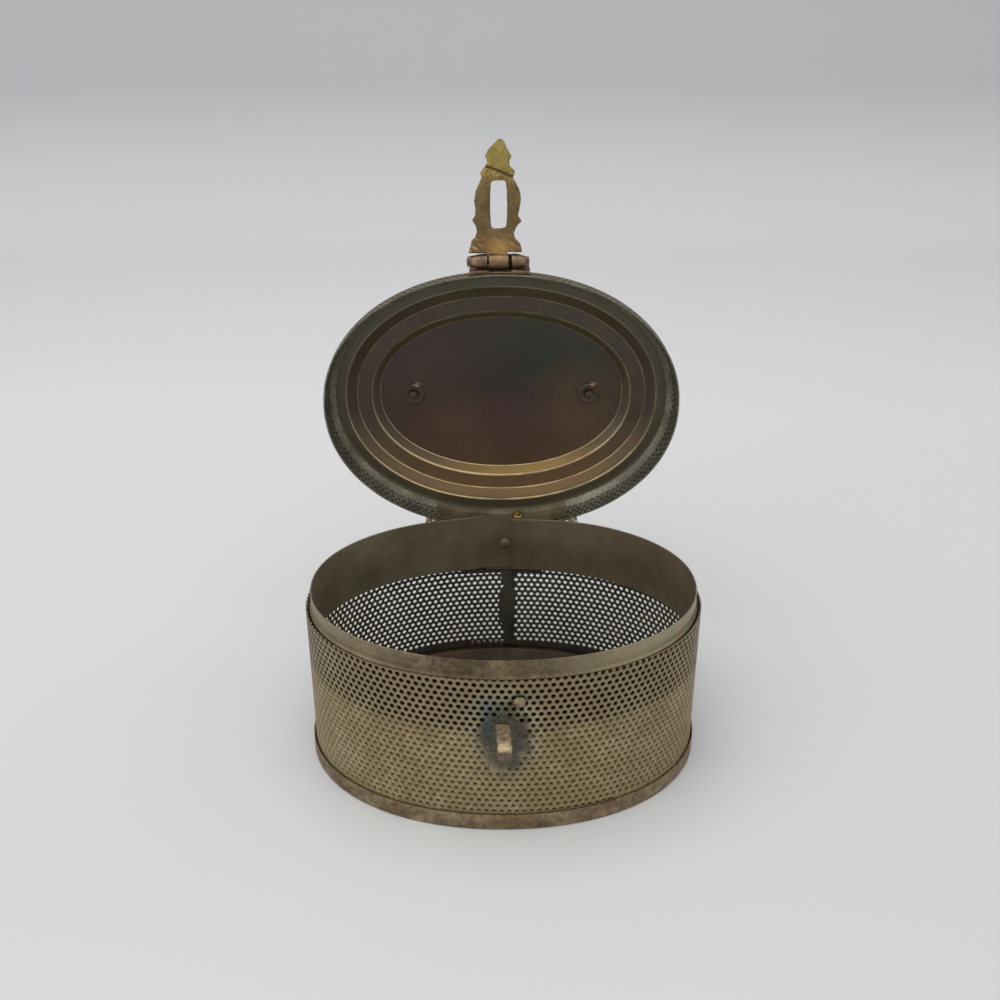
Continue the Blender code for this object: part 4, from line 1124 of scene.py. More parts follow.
def makeCollar():
    t, gap = sheet["thickness"], sheet["gap"]
    outer = t + gap
    stepped = outer + collar["stepInset"]
    rim = collarHigh.z - collar["lapLift"]
    bottom, top = collarLow.z + collar["edge"], rim - collar["edge"]
    outside = [(stepped, top), (stepped, wallTop + collar["bend"] / 2)]
    outside += [(outer, wallTop - collar["bend"]), (outer, bottom)]
    outside = softCorners(outside, collar["foldRadius"])
    inside = [(outer + t, bottom)]
    for share in spread(0, 1, 8):
        z = wallTop - collar["innerFade"] * (1 - share) - collar["bend"]
        inside.append((outer + t + smoothStep(0, 1, share) * collar["stepInset"], z))
    inside.append((stepped + t, top))
    foot = [(outer + collar["footEdge"], collarLow.z), (outer + t - collar["footEdge"], collarLow.z)]
    crown = [(stepped + t - collar["crownEdge"], rim), (stepped + collar["crownEdge"], rim)]
    section = outside + foot + inside + crown
    innerPoints = range(len(outside) + 1, len(section) - 1)
    first = backTurn(collar["lapStart"])
    last = backTurn(collar["lapEnd"]) - 2 * math.pi
    meet = first - 2 * math.pi
    ramp = backTurn(collar["lapStart"] - collar["lapRamp"]) - 2 * math.pi
    turns = spread(first, ramp, ovalShape["steps"]) + spread(ramp, last, 24)[1:]
    work = bmesh.new()
    sections = []
    for turn in turns:
        share = smoothStep(0, 1, (ramp - turn) / (ramp - meet))
        sag = 0
        if turn > 0:
            sag = collar["sag"] * (1 - smoothStep(0, collar["sagReach"], ovalPoint(turn).x))
        thinning = t * 0.85 * smoothStep(0.75, 1, share)  # the lapping end is hammered to a feather edge
        row = []
        for k, (inset, z) in enumerate(section):
            drop = sag * smoothStep(wallTop, rim, z)
            inset += share * t * 1.1 - thinning * (k in innerPoints)
            row.append(Vector((*ovalPoint(turn, inset), z + share * collar["lapLift"] - drop)))
        sections.append(row)
    loftSections(work, sections)
    piece = keepMesh("innerCollar", work, (finishes["collar"], finishes["collarInside"], finishes["shade"]))
    for face in piece.data.polygons:
        inward = -Vector((face.normal.x, face.normal.y)).dot(ovalNormal(face.center.x, face.center.y))
        # painted shade: where only the wall's holes show the collar, it takes the black finish
        inWallShade = face.center.z < wallTop - t  # black where only the wall's holes show it
        face.material_index = 1 if inward > 0.5 else 2 if inWallShade else 0
    place(piece, "box", "inner_collar")


makeCollar()
print("collar made")


# Rivets through the wall

rivet = {"shankRadius": 0.6 * mm, "tailRadius": 1.0 * mm, "tailHeight": 0.5 * mm, "hingeTail": 1.9 * mm}
frontRivet = {"headHeight": 0.6 * mm, "tailRadius": 1.0 * mm, "tailHeight": 0.5 * mm, "finish": "rivet"}
backRivet = {"headHeight": 0.35 * mm, "tailRadius": 1.6 * mm, "tailHeight": 0.6 * mm}
backRivet["finish"] = "collarInside"


def wallRivet(name, node, side, sizes):
    low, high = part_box(node)
    x, z = (low.x + high.x) / 2, (low.z + high.z) / 2
    radius, height = (high.z - low.z) / 2, sizes["headHeight"]
    tail, tailHeight = sizes["tailRadius"], sizes["tailHeight"]
    out = Vector((*ovalNormal(x, side * wallY(x)), 0))
    face = Vector((x, side * wallY(x), z)) + out * sheet["gap"]
    grip = (high.y - low.y) - height - rivet["tailHeight"]
    profile = [(0, height)]
    for angle in (20, 40, 60, 78):
        a = math.radians(angle)
        profile.append((radius * math.sin(a), height * (0.25 + 0.75 * math.cos(a))))
    profile += [
        (radius, height * 0.2), (radius * 0.97, 0), (rivet["shankRadius"], 0), (rivet["shankRadius"], -grip),
        (tail, -grip), (tail * 0.94, -grip - tailHeight * 0.45), (tail * 0.72, -grip - tailHeight * 0.8),
        (tail * 0.4, -grip - tailHeight), (0, -grip - tailHeight * 0.94),
    ]
    work = bmesh.new()
    turnProfile(work, profile, face, out)
    place(keepMesh(name, work, (finishes[sizes["finish"]],)), "box", node)


wallRivet("frontRivet", "front_rivet", -1, frontRivet)
wallRivet("backRivet", "back_rivet", 1, backRivet)


# Staple


def makeStaple():
    # a short bar, filed by hand and rounded off where the hasp rides over it
    low, high = stapleLow, stapleHigh
    random.seed(11)
    work = bmesh.new()
    sections = []
    edge, brow = staple["edge"], staple["brow"]
    front = low.y + edge
    stations = spread(high.y, front + brow, 4) + spread(front + brow, front, 6)[1:]
    stations += [low.y + edge * 0.3, low.y]
    narrow = (high.x - low.x) - (high.z - low.z) * 0.8
    for y in stations:
        pinch = 0 if y > front - 0.1 * edge else edge * (0.45 if y > low.y else 1.0)
        share = (high.y - y) / (high.y - low.y)
        shift = staple["lean"] * (share - 0.5) * 2
        left = low.x + narrow / 2 + shift + pinch
        right = high.x - narrow / 2 + shift - pinch
        sunk = max(0, (front + brow - y) / brow)
        fall = staple["browFall"] * (1 - math.sqrt(max(0, 1 - min(1, sunk) ** 2)))
        bottom, top = low.z + pinch, high.z - pinch - fall
        outline = cornerArc(right - edge, top - edge, edge, 0)
        outline += cornerArc(left + edge, top - edge, edge, 90)
        outline += cornerArc(left + edge, bottom + edge, edge, 180)
        outline += cornerArc(right - edge, bottom + edge, edge, 270)
        jitter = Vector((random.uniform(-1, 1), 0, random.uniform(-1, 1))) * staple["unevenness"] * 0.4
        sections.append([Vector((x, y, z)) + jitter * (0 < share < 1) for x, z in outline])
    loftSections(work, sections)
    place(keepMesh("staplePost", work, (finishes["staple"],)), "box", "staple_post")


def makeSolder():
    # a low mound that climbs round the post's foot
    low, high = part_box("staple_solder")
    middle = (low + high) / 2
    halfX, halfZ = (high.x - low.x) / 2, (high.z - low.z) / 2
    lumps = random.Random(5)
    bumps = [lumps.uniform(0.7, 1.0) for _ in range(staple["solderSteps"])]
    work = bmesh.new()
    rings = []
    for k in range(staple["solderRings"] + 1):
        share = 1 - k / staple["solderRings"] * 0.75
        rise = 1 - math.cos(math.pi / 2 * k / staple["solderRings"])  # feathered out over the sheet
        height = sheet["gap"] * 0.95 + sheet["thickness"] * rise * 0.99
        ring = []
        for n, a in enumerate(wholeTurn(staple["solderSteps"])):
            edge = (bumps[n] + bumps[n - 1]) / 2
            x = middle.x + halfX * share * edge * math.cos(a)
            z = middle.z + halfZ * share * edge * math.sin(a)
            ring.append(work.verts.new((x, -wallY(x) - height, z)))
        rings.append(ring)
    back = [work.verts.new((v.co.x, -wallY(v.co.x) - sheet["gap"] * 0.9, v.co.z)) for v in rings[0]]
    for a, b in zip([back] + rings, rings):
        for n in range(staple["solderSteps"]):
            m = (n + 1) % staple["solderSteps"]
            work.faces.new((a[n], a[m], b[m], b[n]))
    work.faces.new(rings[-1])
    work.faces.new(back)
    bmesh.ops.recalc_face_normals(work, faces=work.faces)
    place(keepMesh("stapleSolder", work, (finishes["solder"],)), "box", "staple_solder")


makeStaple()
makeSolder()
print("staple made")


# Hinge

hinge = {
    "pinRadius": 0.6 * mm,
    "pinEdge": 0.12 * mm,
    "knuckleLength": 10.6 * mm,
    "curl": 290,
    "curlSteps": 28,
    "footDrop": 1.7 * mm,
    "leafBend": 3.2 * mm,
    "tabFade": 22.0 * mm,
    "tabWidth": 49.0 * mm,
    "tabRow": 0.9 * mm,
}
hingeBore = hinge["pinRadius"] + sheet["gap"]
curlRadius = hingeBore + sheet["thickness"]


def curlRound(x, side):
    # outer and inner face of a leaf's curl round the pin
    pin = Vector((x, lidHinge.y, lidHinge.z))
    turns = spread(math.pi, math.pi + side * math.radians(hinge["curl"]), hinge["curlSteps"])
    rays = [Vector((0, math.cos(turn), math.sin(turn))) for turn in turns]
    return [pin + curlRadius * ray for ray in rays], [pin + hingeBore * ray for ray in rays]


def leafSection(x, path, side):
    # path is the leaf's near face as inset and height, ending at its bend; the curl wraps the pin
    lean = ovalNormal(x, wallY(x)).y
    away = offsetPath(path, -side * sheet["thickness"])
    near = [Vector((x, wallY(x) - inset / lean, z)) for inset, z in path]
    far = [Vector((x, wallY(x) - inset / lean, z)) for inset, z in away]
    reach = lidHinge.y - curlRadius - near[-1].y
    foot = Vector((0, reach, lidHinge.z + side * hinge["footDrop"] - near[-1].z))
    outer, inner = curlRound(x, side)
    near += [near[-1] + foot, *outer]
    far += [far[-1] + foot, *inner]
    return near + far[::-1]


def makeLowerLeaf():
    low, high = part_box("lower_hinge_leaf")
    z = lidHinge.z
    work = bmesh.new()
    gap = sheet["gap"]
    path = [(-gap, low.z), (-gap, z - hinge["leafBend"])]
    # the middle is notched for the lid's knuckle: two knuckled ends and a plain leaf between them
    side = hinge["knuckleLength"] / 2 + gap
    cut = z - curlRadius - 2 * gap
    for first, last in ((low.x, -side), (side, high.x)):
        sections = [leafSection(x, path, -1) for x in spread(first, last, 8)]
        loftSections(work, sections)
    sections = []
    for x in spread(-side, side, 12):
        lean = ovalNormal(x, wallY(x)).y
        full = leafSection(x, path, -1)
        near = [full[0], full[1]]
        toFoot = full[2]
        share = (cut - full[1].z) / (toFoot.z - full[1].z)
        near.append(full[1].lerp(toFoot, share))
        thick = Vector((0, sheet["thickness"] / lean, 0))
        sections.append(near + [p + thick for p in reversed(near)])
    loftSections(work, sections)
    bmesh.ops.remove_doubles(work, verts=work.verts, dist=0.00001)
    place(keepMesh("lowerHingeLeaf", work, (finishes["collar"],)), "box", "lower_hinge_leaf")


def makeHingePin():
    low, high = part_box("hinge_pin")
    radius, half = hinge["pinRadius"], (high.x - low.x) / 2
    edge = hinge["pinEdge"]
    profile = [(0, -half), (radius - edge, -half), (radius, -half + edge)]
    profile += [(radius, half - edge), (radius - edge, half), (0, half)]
    work = bmesh.new()
    turnProfile(work, profile, Vector((0, lidHinge.y, lidHinge.z)), (1, 0, 0), 24)
    place(keepMesh("hingePin", work, (finishes["rivet"],)), "box", "hinge_pin")


makeLowerLeaf()
makeHingePin()
print("hinge made")


# Lid

lid = {
    "sheet": 0.5 * mm,
    "straight": 5.0 * mm,
    "height": 9.1 * mm,
    "inset": 2.6 * mm,
    "shoulderShares": ((1.0, 1.0), (0.56, 0.84), (0.28, 0.62)),
    "seamX": 9.0 * mm,
    "firstRow": 0.95 * mm,
    "lastRow": 7.1 * mm,  # above this the shoulder is plain
    "seamMargin": 0.5 * mm,
    "foldRadius": 1.0 * mm,
    "plateFold": 0.8 * mm,
}


def skirtPath():
    # outer face from the shoulder down to the edge, as inset and height
    straight = wallTop + lid["straight"]
    path = []
    for insetShare, heightShare in lid["shoulderShares"]:
        path.append((lid["inset"] * insetShare, straight + (lid["height"] - lid["straight"]) * heightShare))
    return path + [(0, straight), (0, wallTop + sheet["gap"])]


def makeSkirt():
    seam = backTurn(lid["seamX"])
    turns = spread(seam, seam + 2 * math.pi, 2 * ovalShape["steps"])
    profile = softCorners(skirtPath(), lid["foldRadius"])[::-1]
    given = {"First Row": lid["firstRow"], "Plain Above": lid["lastRow"], "Seed": 9}
    given["Seam Margin"] = lid["seamMargin"]
    work = pierceAlong("lidSkirt", turns, profile, finishes["lidSide"], **given)
    piece = thicken("lidSkirt", work, (finishes["lidSide"], finishes["lidMesh"]), lid["sheet"], cutFinish=1)
    place(openLid(piece), "lid", "lid_skirt")


def makeBackingPlate():
    low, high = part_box("hinge_backing_plate")
    path = offsetPath(skirtPath(), sheet["thickness"] + sheet["gap"])
    path[-1] = (path[-1][0], wallTop + 2 * sheet["gap"])
    outside = softCorners(path, lid["plateFold"])
    section = outside + offsetPath(outside, sheet["thickness"])[::-1]
    turns = spread(backTurn(high.x), backTurn(low.x), 48)
    piece = sweepOval("hingeBackingPlate", section, (finishes["plate"],), turns)
    place(openLid(piece), "lid", "hinge_backing_plate")


def makeUpperLeaf():
    # pierced tab over the skirt; its middle leaves the wall to curl round the pin
    half = hinge["tabWidth"] / 2
    gap, t = sheet["gap"], sheet["thickness"]
    outside = offsetPath(skirtPath(), -gap - t)[2:4]
    bottom = lidHinge.z + hinge["footDrop"] + t
    profile = [(-gap - t, bottom), (-gap - t, wallTop), *outside[::-1]]
    turns = spread(backTurn(half), backTurn(-half), 120)
    given = {"Pierced Cell": wallCell, "First Row": hinge["tabRow"], "Seed": 3}
    work = pierceAlong("upperHingeLeaf", turns, profile, finishes["wall"], **given)
    for vert in work.verts:
        fade = 1 - smoothStep(0, hinge["tabFade"], abs(vert.co.x) - hinge["knuckleLength"] / 2 - gap)
        drop = (wallTop - vert.co.z) / (wallTop - lidHinge.z - hinge["footDrop"])
        if drop > 0:
            vert.co.y += drop * fade * (lidHinge.y - hingeBore - wallY(vert.co.x) - (gap + t))
    tab = thicken("upperHingeLeaf", work, (finishes["wall"], finishes["tab"]), t)
    curl = bmesh.new()
    curl.from_mesh(tab.data)
    side = hinge["knuckleLength"] / 2
    stem = lidHinge.z + hinge["footDrop"] + t * 1.3
    sections = []
    for x in spread(-side, side, 10):
        outer, inner = curlRound(x, 1)
        ends = [Vector((x, lidHinge.y - radius, stem)) for radius in (hingeBore, curlRadius)]
        sections.append([ends[1], *outer, *inner[::-1], ends[0]])
    loftSections(curl, sections)
    curl.to_mesh(tab.data)
    curl.free()
    smoothMesh(tab.data, 40)
    place(openLid(tab), "lid", "upper_hinge_leaf")


def makeHingeRivet():
    path = skirtPath()
    upper, lower = Vector(path[-3]), Vector(path[-2])
    low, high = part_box("upper_hinge_rivet")
    x = (low.x + high.x) / 2
    middle = (upper + lower) / 2
    turn = backTurn(x)
    face = Vector((*ovalPoint(turn, middle.x), middle.y))
    rise = lower - upper
    flat = Vector((*ovalNormal(*ovalPoint(turn)), 0))
    out = (-rise.y * flat - rise.x * Vector((0, 0, 1))).normalized()
    t, gap = sheet["thickness"], sheet["gap"]
    grip = 3 * (t + gap) + gap
    head, high, tail = rivet["tailRadius"], rivet["tailHeight"], rivet["hingeTail"]
    profile = [
        (0, high), (head * 0.5, high * 0.92), (head * 0.85, high * 0.6), (head, high * 0.2), (head, 0),
        (rivet["shankRadius"], 0), (rivet["shankRadius"], -grip), (tail, -grip),
        (tail * 0.95, -grip - high * 0.5), (tail * 0.6, -grip - high * 1.1), (0, -grip - high * 1.3),
    ]
    work = bmesh.new()
    turnProfile(work, profile, face + (gap + t + gap) * out, out, 24)
    place(openLid(keepMesh("upperHingeRivet", work, (finishes["goldRivet"],))), "lid", "upper_hinge_rivet")


makeSkirt()
makeBackingPlate()
makeUpperLeaf()
makeHingeRivet()
print("lid skirt made")


lidTop = {
    "shoulderInset": 3.3 * mm,
    "shoulder": 10.0 * mm,
    "lowStep": (5.9 * mm, 9.3 * mm),
    "lowRise": 1.6 * mm,
    "highStep": (14.0 * mm, 16.4 * mm),
    "panelWidth": 4.0 * mm,  # past the step, before the flat panel closes the middle
    "foldRadius": 0.45 * mm,
    "foldSteps": 6,
}
panelTop = topHigh.y - lidHinge.y + lidHinge.z
highRise = panelTop - wallTop - lidTop["shoulder"] - lidTop["lowRise"]
finishes["lidInside"] = heatTintedBrass(lidHinge.z / mm + lidHinge.y / mm, highRise / mm)


def makeLidTop():
    shoulder = wallTop + lidTop["shoulder"]
    landing = shoulder + lidTop["lowRise"]
    rim = offsetPath(skirtPath(), -sheet["thickness"] - sheet["gap"])[:2]
    path = [
        (lidTop["highStep"][1] + lidTop["panelWidth"], panelTop),
        (lidTop["highStep"][1], panelTop),
        (lidTop["highStep"][0], landing),
        (lidTop["lowStep"][1], landing),
        (lidTop["lowStep"][0], shoulder),
        (lidTop["shoulderInset"], shoulder),
        *rim,
    ]
    steps = lidTop["foldSteps"]
    soft = softCorners(path, lidTop["foldRadius"], steps)
    under = offsetPath(soft, sheet["thickness"])[::-1]
    pair = (finishes["lidTop"], finishes["lidInside"])
    piece = sweepOval("lidTopPlate", soft + under, pair, closedProfile=False, angle=60)
    for face in piece.data.polygons:
        if face.normal.z < -0.05:
            face.material_index = 1
    markFolds(piece, len(soft), steps, range(4))
    place(openLid(piece), "lid", "lid_top_plate")


makeLidTop()
print("lid top made")


# Handle

ear = {
    "flangeRadius": 3.0 * mm,
    "flangeHeight": 0.8 * mm,
    "eyeRadius": 2.5 * mm,
    "thickness": 2.4 * mm,
    "shank": 1.1 * mm,
    "tailRadius": 1.4 * mm,
    "tailHeight": 0.7 * mm,
    "washerRadius": 3.4 * mm,
    "washerThickness": 0.5 * mm,
}
bail = {"radius": 1.2 * mm, "depth": 21.5 * mm, "corner": 2.2 * mm, "end": 0.6 * mm, "fullness": 0.8}


def makeEar(name, node, washerNode):
    low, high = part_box(node)
    x = (low.x + high.x) / 2
    flange, rise = ear["flangeRadius"], ear["flangeHeight"]
    t, gap = sheet["thickness"], sheet["gap"]
    base = panelTop + gap
    axisZ = handleAxis.y - lidHinge.y + lidHinge.z
    grip = 2 * gap + t + gap + ear["washerThickness"] + gap
    tail = -grip - ear["tailHeight"]
    profile = [
        (0, rise), (flange * 0.7, rise), (flange * 0.92, rise * 0.8), (flange, rise * 0.4), (flange, 0),
        (ear["shank"], 0), (ear["shank"], -grip), (ear["tailRadius"], -grip),
        (ear["tailRadius"] * 0.95, tail * 0.8 - grip * 0.2), (ear["tailRadius"] * 0.6, tail), (0, tail),
    ]
    work = bmesh.new()
    turnProfile(work, profile, Vector((x, 0, base)), (0, 0, 1), 28)
    # the eye is a rounded ring that stands on the flange
    inner, half = bail["radius"] + gap, ear["thickness"] / 2
    outer = ear["eyeRadius"]
    side = [(inner, half * 0.7), (inner + 0.15 * mm, half)]
    side += [(outer - 0.45 * mm, half), (outer - 0.1 * mm, half * 0.7)]
    ringProfile = [(r, -along) for r, along in side] + [(outer, 0)] + side[::-1]
    rings = []
    for a in wholeTurn(36):
        ray = Vector((0, math.cos(a), math.sin(a)))
        rings.append([Vector((x + along, 0, axisZ)) + r * ray for r, along in ringProfile])
    loftSections(work, rings, closedPath=True)
    piece = keepMesh("handleEar" + name, work, (finishes["knuckle"], finishes["lidInside"]))
    for face in piece.data.polygons:
        face.material_index = int(face.center.z < panelTop - t)
    place(openLid(piece), "lid", node)

    top = panelTop - t - gap
    bore, edge = ear["shank"] + gap, ear["washerRadius"]
    thick = ear["washerThickness"]
    washer = [
        (bore, -0.05 * mm), (bore + 0.1 * mm, 0), (edge - 0.1 * mm, 0), (edge, -0.1 * mm),
        (edge, -thick * 0.6), (edge - 0.25 * mm, -thick), (bore + 0.2 * mm, -thick), (bore, -thick * 0.8),
    ]
    rings = []
    for a in wholeTurn(40):
        rings.append([Vector((x + r * math.cos(a), r * math.sin(a), top + z)) for r, z in washer])
    work = bmesh.new()
    loftSections(work, rings, closedPath=True)
    place(openLid(keepMesh("handleWasher" + name, work, (finishes["lidInside"],))), "lid", washerNode)


def makeBail():
    low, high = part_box("bail_handle")
    half = (high.x - low.x) / 2 - bail["radius"]
    bend = half - bail["corner"]
    earLow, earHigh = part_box("handle_ear_right")
    start = (earLow.x + earHigh.x) / 2 - ear["thickness"] / 2 - bail["end"]
    points = [(start, 0)]
    for a in spread(-math.pi / 2, 0, 8):
        points.append((bend + bail["corner"] * math.cos(a), bail["corner"] + bail["corner"] * math.sin(a)))
    for a in spread(0, math.pi / 2, 32)[1:]:
        x = half * signedPower(math.cos(a), bail["fullness"])
        points.append((x, bail["corner"] + (bail["depth"] - bail["corner"]) * math.sin(a)))
    route = [Vector((x, handleAxis.y, handleAxis.z - out)) for x, out in points]
    route += [Vector((-p.x, p.y, p.z)) for p in route[-2::-1]]
    work = bmesh.new()
    sections = []
    for k, point in enumerate(route):
        ahead = (route[min(k + 1, len(route) - 1)] - route[max(k - 1, 0)]).normalized()
        side = Vector((0, 1, 0))
        up = ahead.cross(side)
        inEnd = min(k, len(route) - 1 - k)
        radius = bail["radius"] * (0.8 if inEnd == 0 else 1.0)
        sections.append([point + radius * (side * math.cos(a) + up * math.sin(a)) for a in wholeTurn(16)])
    loftSections(work, sections)
    place(keepMesh("bailHandle", work, (finishes["hasp"],)), "handle", "bail_handle")


makeEar("Left", "handle_ear_left", "handle_washer_left")
makeEar("Right", "handle_ear_right", "handle_washer_right")
makeBail()
print("handle made")


# Hasp

bracket = {
    "sheet": 0.8 * mm,
    "foot": 0.8 * mm,
    "height": 6.8 * mm,
    "inner": 3.25 * mm,
    "length": 5.5 * mm,
    "rightShort": 0.9 * mm,  # its right end was cut back
    "thinnest": 0.25 * mm,
    "edge": 0.15 * mm,
    "taper": 0.7 * mm,
}
hasp = {
    "knuckleRadius": 2.4 * mm,
    "pinRadius": 0.8 * mm,
    "pinHead": (1.6 * mm, 0.7 * mm),  # radius and height
    "knuckleHalf": 3.25 * mm,
    "knuckleEdge": 0.25 * mm,
    "lumps": 0.14 * mm,
    "shortened": 0.5 * mm,  # its knuckle was filed short at the right
    "burr": 2.25 * mm,
    "thickness": 1.8 * mm,
    "edge": 0.38 * mm,
    "ragged": 0.09 * mm,
    "lean": 0.9,  # in mm; the foot was cut further left than the finial
}
# The outline from the base up to the tip, in mm: across from the middle, and above the pin. It was filed by
# hand, so its two sides differ a little. A point marked True is a sharp cusp or notch.
haspRight = (
    (2.95, 1.7, True), (2.95, 2.9, True), (7.5, 2.9, True), (7.4, 4.3, False), (6.8, 5.5, False),
    (5.6, 6.6, True), (5.1, 8.0, False), (5.5, 9.8, False), (7.1, 11.9, True), (6.1, 13.6, True),
    (6.5, 15.6, False), (6.75, 18.2, False), (6.3, 20.7, False), (5.3, 22.6, False), (4.3, 24.3, True),
    (4.85, 25.7, True), (4.4, 26.6, True), (3.3, 27.5, False), (3.1, 28.6, False), (3.65, 30.3, True),
    (2.6, 32.0, False), (1.7, 33.8, False), (1.1, 34.6, False),
)
haspLeft = (
    (2.95, 1.7, True), (2.95, 2.55, True), (8.3, 2.55, True), (7.9, 4.0, False), (7.3, 6.3, True),
    (6.4, 7.0, True), (5.9, 9.0, False), (6.3, 10.7, False), (7.3, 12.2, True), (6.5, 13.4, True),
    (6.5, 15.6, False), (6.8, 17.6, False), (6.4, 20.4, False), (5.6, 22.4, False), (4.8, 24.4, True),
    (5.2, 25.7, True), (4.2, 27.0, True), (3.3, 28.4, False), (3.95, 30.4, True), (3.1, 31.9, False),
    (1.8, 33.4, False), (0.5, 34.5, False),
)
haspTip = (0.4, 34.95)
haspSlot = {
    "half": 2.45, "waist": 2.2, "low": 9.75, "high": 23.5, "corner": 0.8, "ragged": 0.07,
    "shift": 0.3,  # to the left, with the foot
}


def curveThrough(points, steps=4):
    # smooth between cusps: a Catmull-Rom curve that breaks at every sharp point
    made = []
    for k in range(len(points) - 1):
        a, b = points[k], points[k + 1]
        before = a if a[2] or k == 0 else points[k - 1]
        after = b if b[2] or k + 2 >= len(points) else points[k + 2]
        p0, p1, p2, p3 = (Vector(p[:2]) for p in (before, a, b, after))
        if a[2] and b[2]:
            made.append(tuple(p1))
            continue
        for n in range(steps):
            t = n / steps
            bend = (2 * p0 - 5 * p1 + 4 * p2 - p3) * t * t + (3 * p1 - p0 - 3 * p2 + p3) * t * t * t
            made.append(tuple(0.5 * (2 * p1 + (p2 - p0) * t + bend)))
    return made


def slotOutline():
    # a slot with rounded corners and slightly bowed sides
    s = haspSlot
    outline = []
    for cx, cz, start in (
        (s["waist"] - s["corner"], s["high"] - s["corner"], 0),
        (-s["waist"] + s["corner"], s["high"] - s["corner"], 90),
        (-s["waist"] + s["corner"], s["low"] + s["corner"], 180),
        (s["waist"] - s["corner"], s["low"] + s["corner"], 270),
    ):
        outline += cornerArc(cx, cz, s["corner"], start)
        if start in (90, 270):
            way = -1 if start == 90 else 1
            for share in (0.12, 0.25, 0.37, 0.5, 0.62, 0.75, 0.88):
                z = s["high"] + (s["low"] - s["high"]) * (share if way < 0 else 1 - share)
                bow = (s["half"] - s["waist"]) * math.sin(math.pi * share)
                outline.append((way * (s["waist"] + bow), z))
        if start == 180:
            for x in (-0.9, -0.5, 0.0, 0.6, 1.0):
                outline.append((x, s["low"]))
    rough = random.Random(3)
    ragged = [(rough.uniform(-1, 1) * s["ragged"], rough.uniform(-1, 1) * s["ragged"] * 2) for _ in outline]
    return [(x + dx - s["shift"], z + dz) for (x, z), (dx, dz) in zip(outline, ragged)]


def addKnuckle(work, first, last, taper):
    # a cast tube round the pin, a little lumpy; taper narrows its right end, or if negative its left
    radius, bore, edge = hasp["knuckleRadius"], hasp["pinRadius"] + sheet["gap"], hasp["knuckleEdge"]
    stations = spread(first + edge, last - edge, 6)
    profile = [(bore, first), (radius - 2 * edge, first), (radius - edge * 0.6, first + edge * 0.3)]
    profile += [(radius, x) for x in stations]
    profile += [(radius - edge * 0.6, last - edge * 0.3), (radius - 2 * edge, last), (bore, last)]
    lumps = random.Random(int(first / mm * 10))
    swell = [lumps.uniform(0, 1) * hasp["lumps"] for _ in range(11)]
    rings = []
    for k, a in enumerate(wholeTurn(32)):
        row = []
        for j, (r, x) in enumerate(profile):
            along = (x - first) / (last - first)
            far = along if taper > 0 else 1 - along
            if r > bore:
                r -= abs(taper) * smoothStep(0.25, 1, far)
                r -= swell[(j * 3 + k // 3) % 11] * (0 < j < len(profile) - 1)
                r = max(r, bore + 0.1 * mm)
            row.append(Vector((x, haspAxis.y + r * math.cos(a), haspAxis.z + r * math.sin(a))))
        rings.append(row)
    loftSections(work, rings, closedPath=True)


def makeHasp():
    centre = haspAxis
    half = hasp["thickness"] / 2
    sides = []
    for side, way in ((haspRight, 1), (haspLeft, -1)):
        curve = [(way * x, z) for x, z in curveThrough([*side, (*haspTip, True)])]
        sides.append([(x - hasp["lean"] * (1.15 - z / 35), z) if z > 2 else (x, z) for x, z in curve])
    right, left = sides
    rough = random.Random(8)
    wander = [Vector((rough.uniform(-1, 1), rough.uniform(-1, 1))) * hasp["ragged"] for _ in right + left]
    outline = zip(right + [haspTip] + left[::-1], wander)
    outer = [(x * mm + shift.x, z * mm + shift.y) for (x, z), shift in outline]
    inner = [(x * mm, z * mm) for x, z in slotOutline()]
    work = bmesh.new()
    loops = []
    for outline in (outer, inner):
        verts = [work.verts.new((centre.x + x, centre.y - half, centre.z + z)) for x, z in outline]
        loops.append([work.edges.new((a, b)) for a, b in zip(verts, verts[1:] + verts[:1])])
    bmesh.ops.triangle_fill(work, edges=loops[0] + loops[1], use_beauty=True)
    front = list(work.faces)
    raised = bmesh.ops.extrude_face_region(work, geom=front)
    moved = [g for g in raised["geom"] if isinstance(g, bmesh.types.BMVert)]
    bmesh.ops.translate(work, verts=moved, vec=(0, hasp["thickness"], 0))
    bmesh.ops.recalc_face_normals(work, faces=work.faces)
    rim = [e for e in work.edges if len(e.link_faces) == 2 and e.calc_face_angle(0) > math.radians(50)]
    rim = [e for e in rim if abs(e.verts[0].co.y - e.verts[1].co.y) < 1e-7]
    bmesh.ops.bevel(work, geom=rim, offset=hasp["edge"], segments=2, affect="EDGES", profile=0.6)
    addKnuckle(work, centre.x - hasp["knuckleHalf"], centre.x + hasp["knuckleHalf"] - hasp["shortened"], 0)
    place(keepMesh("hasp", work, (finishes["hasp"],), 30), "hasp", "hasp")


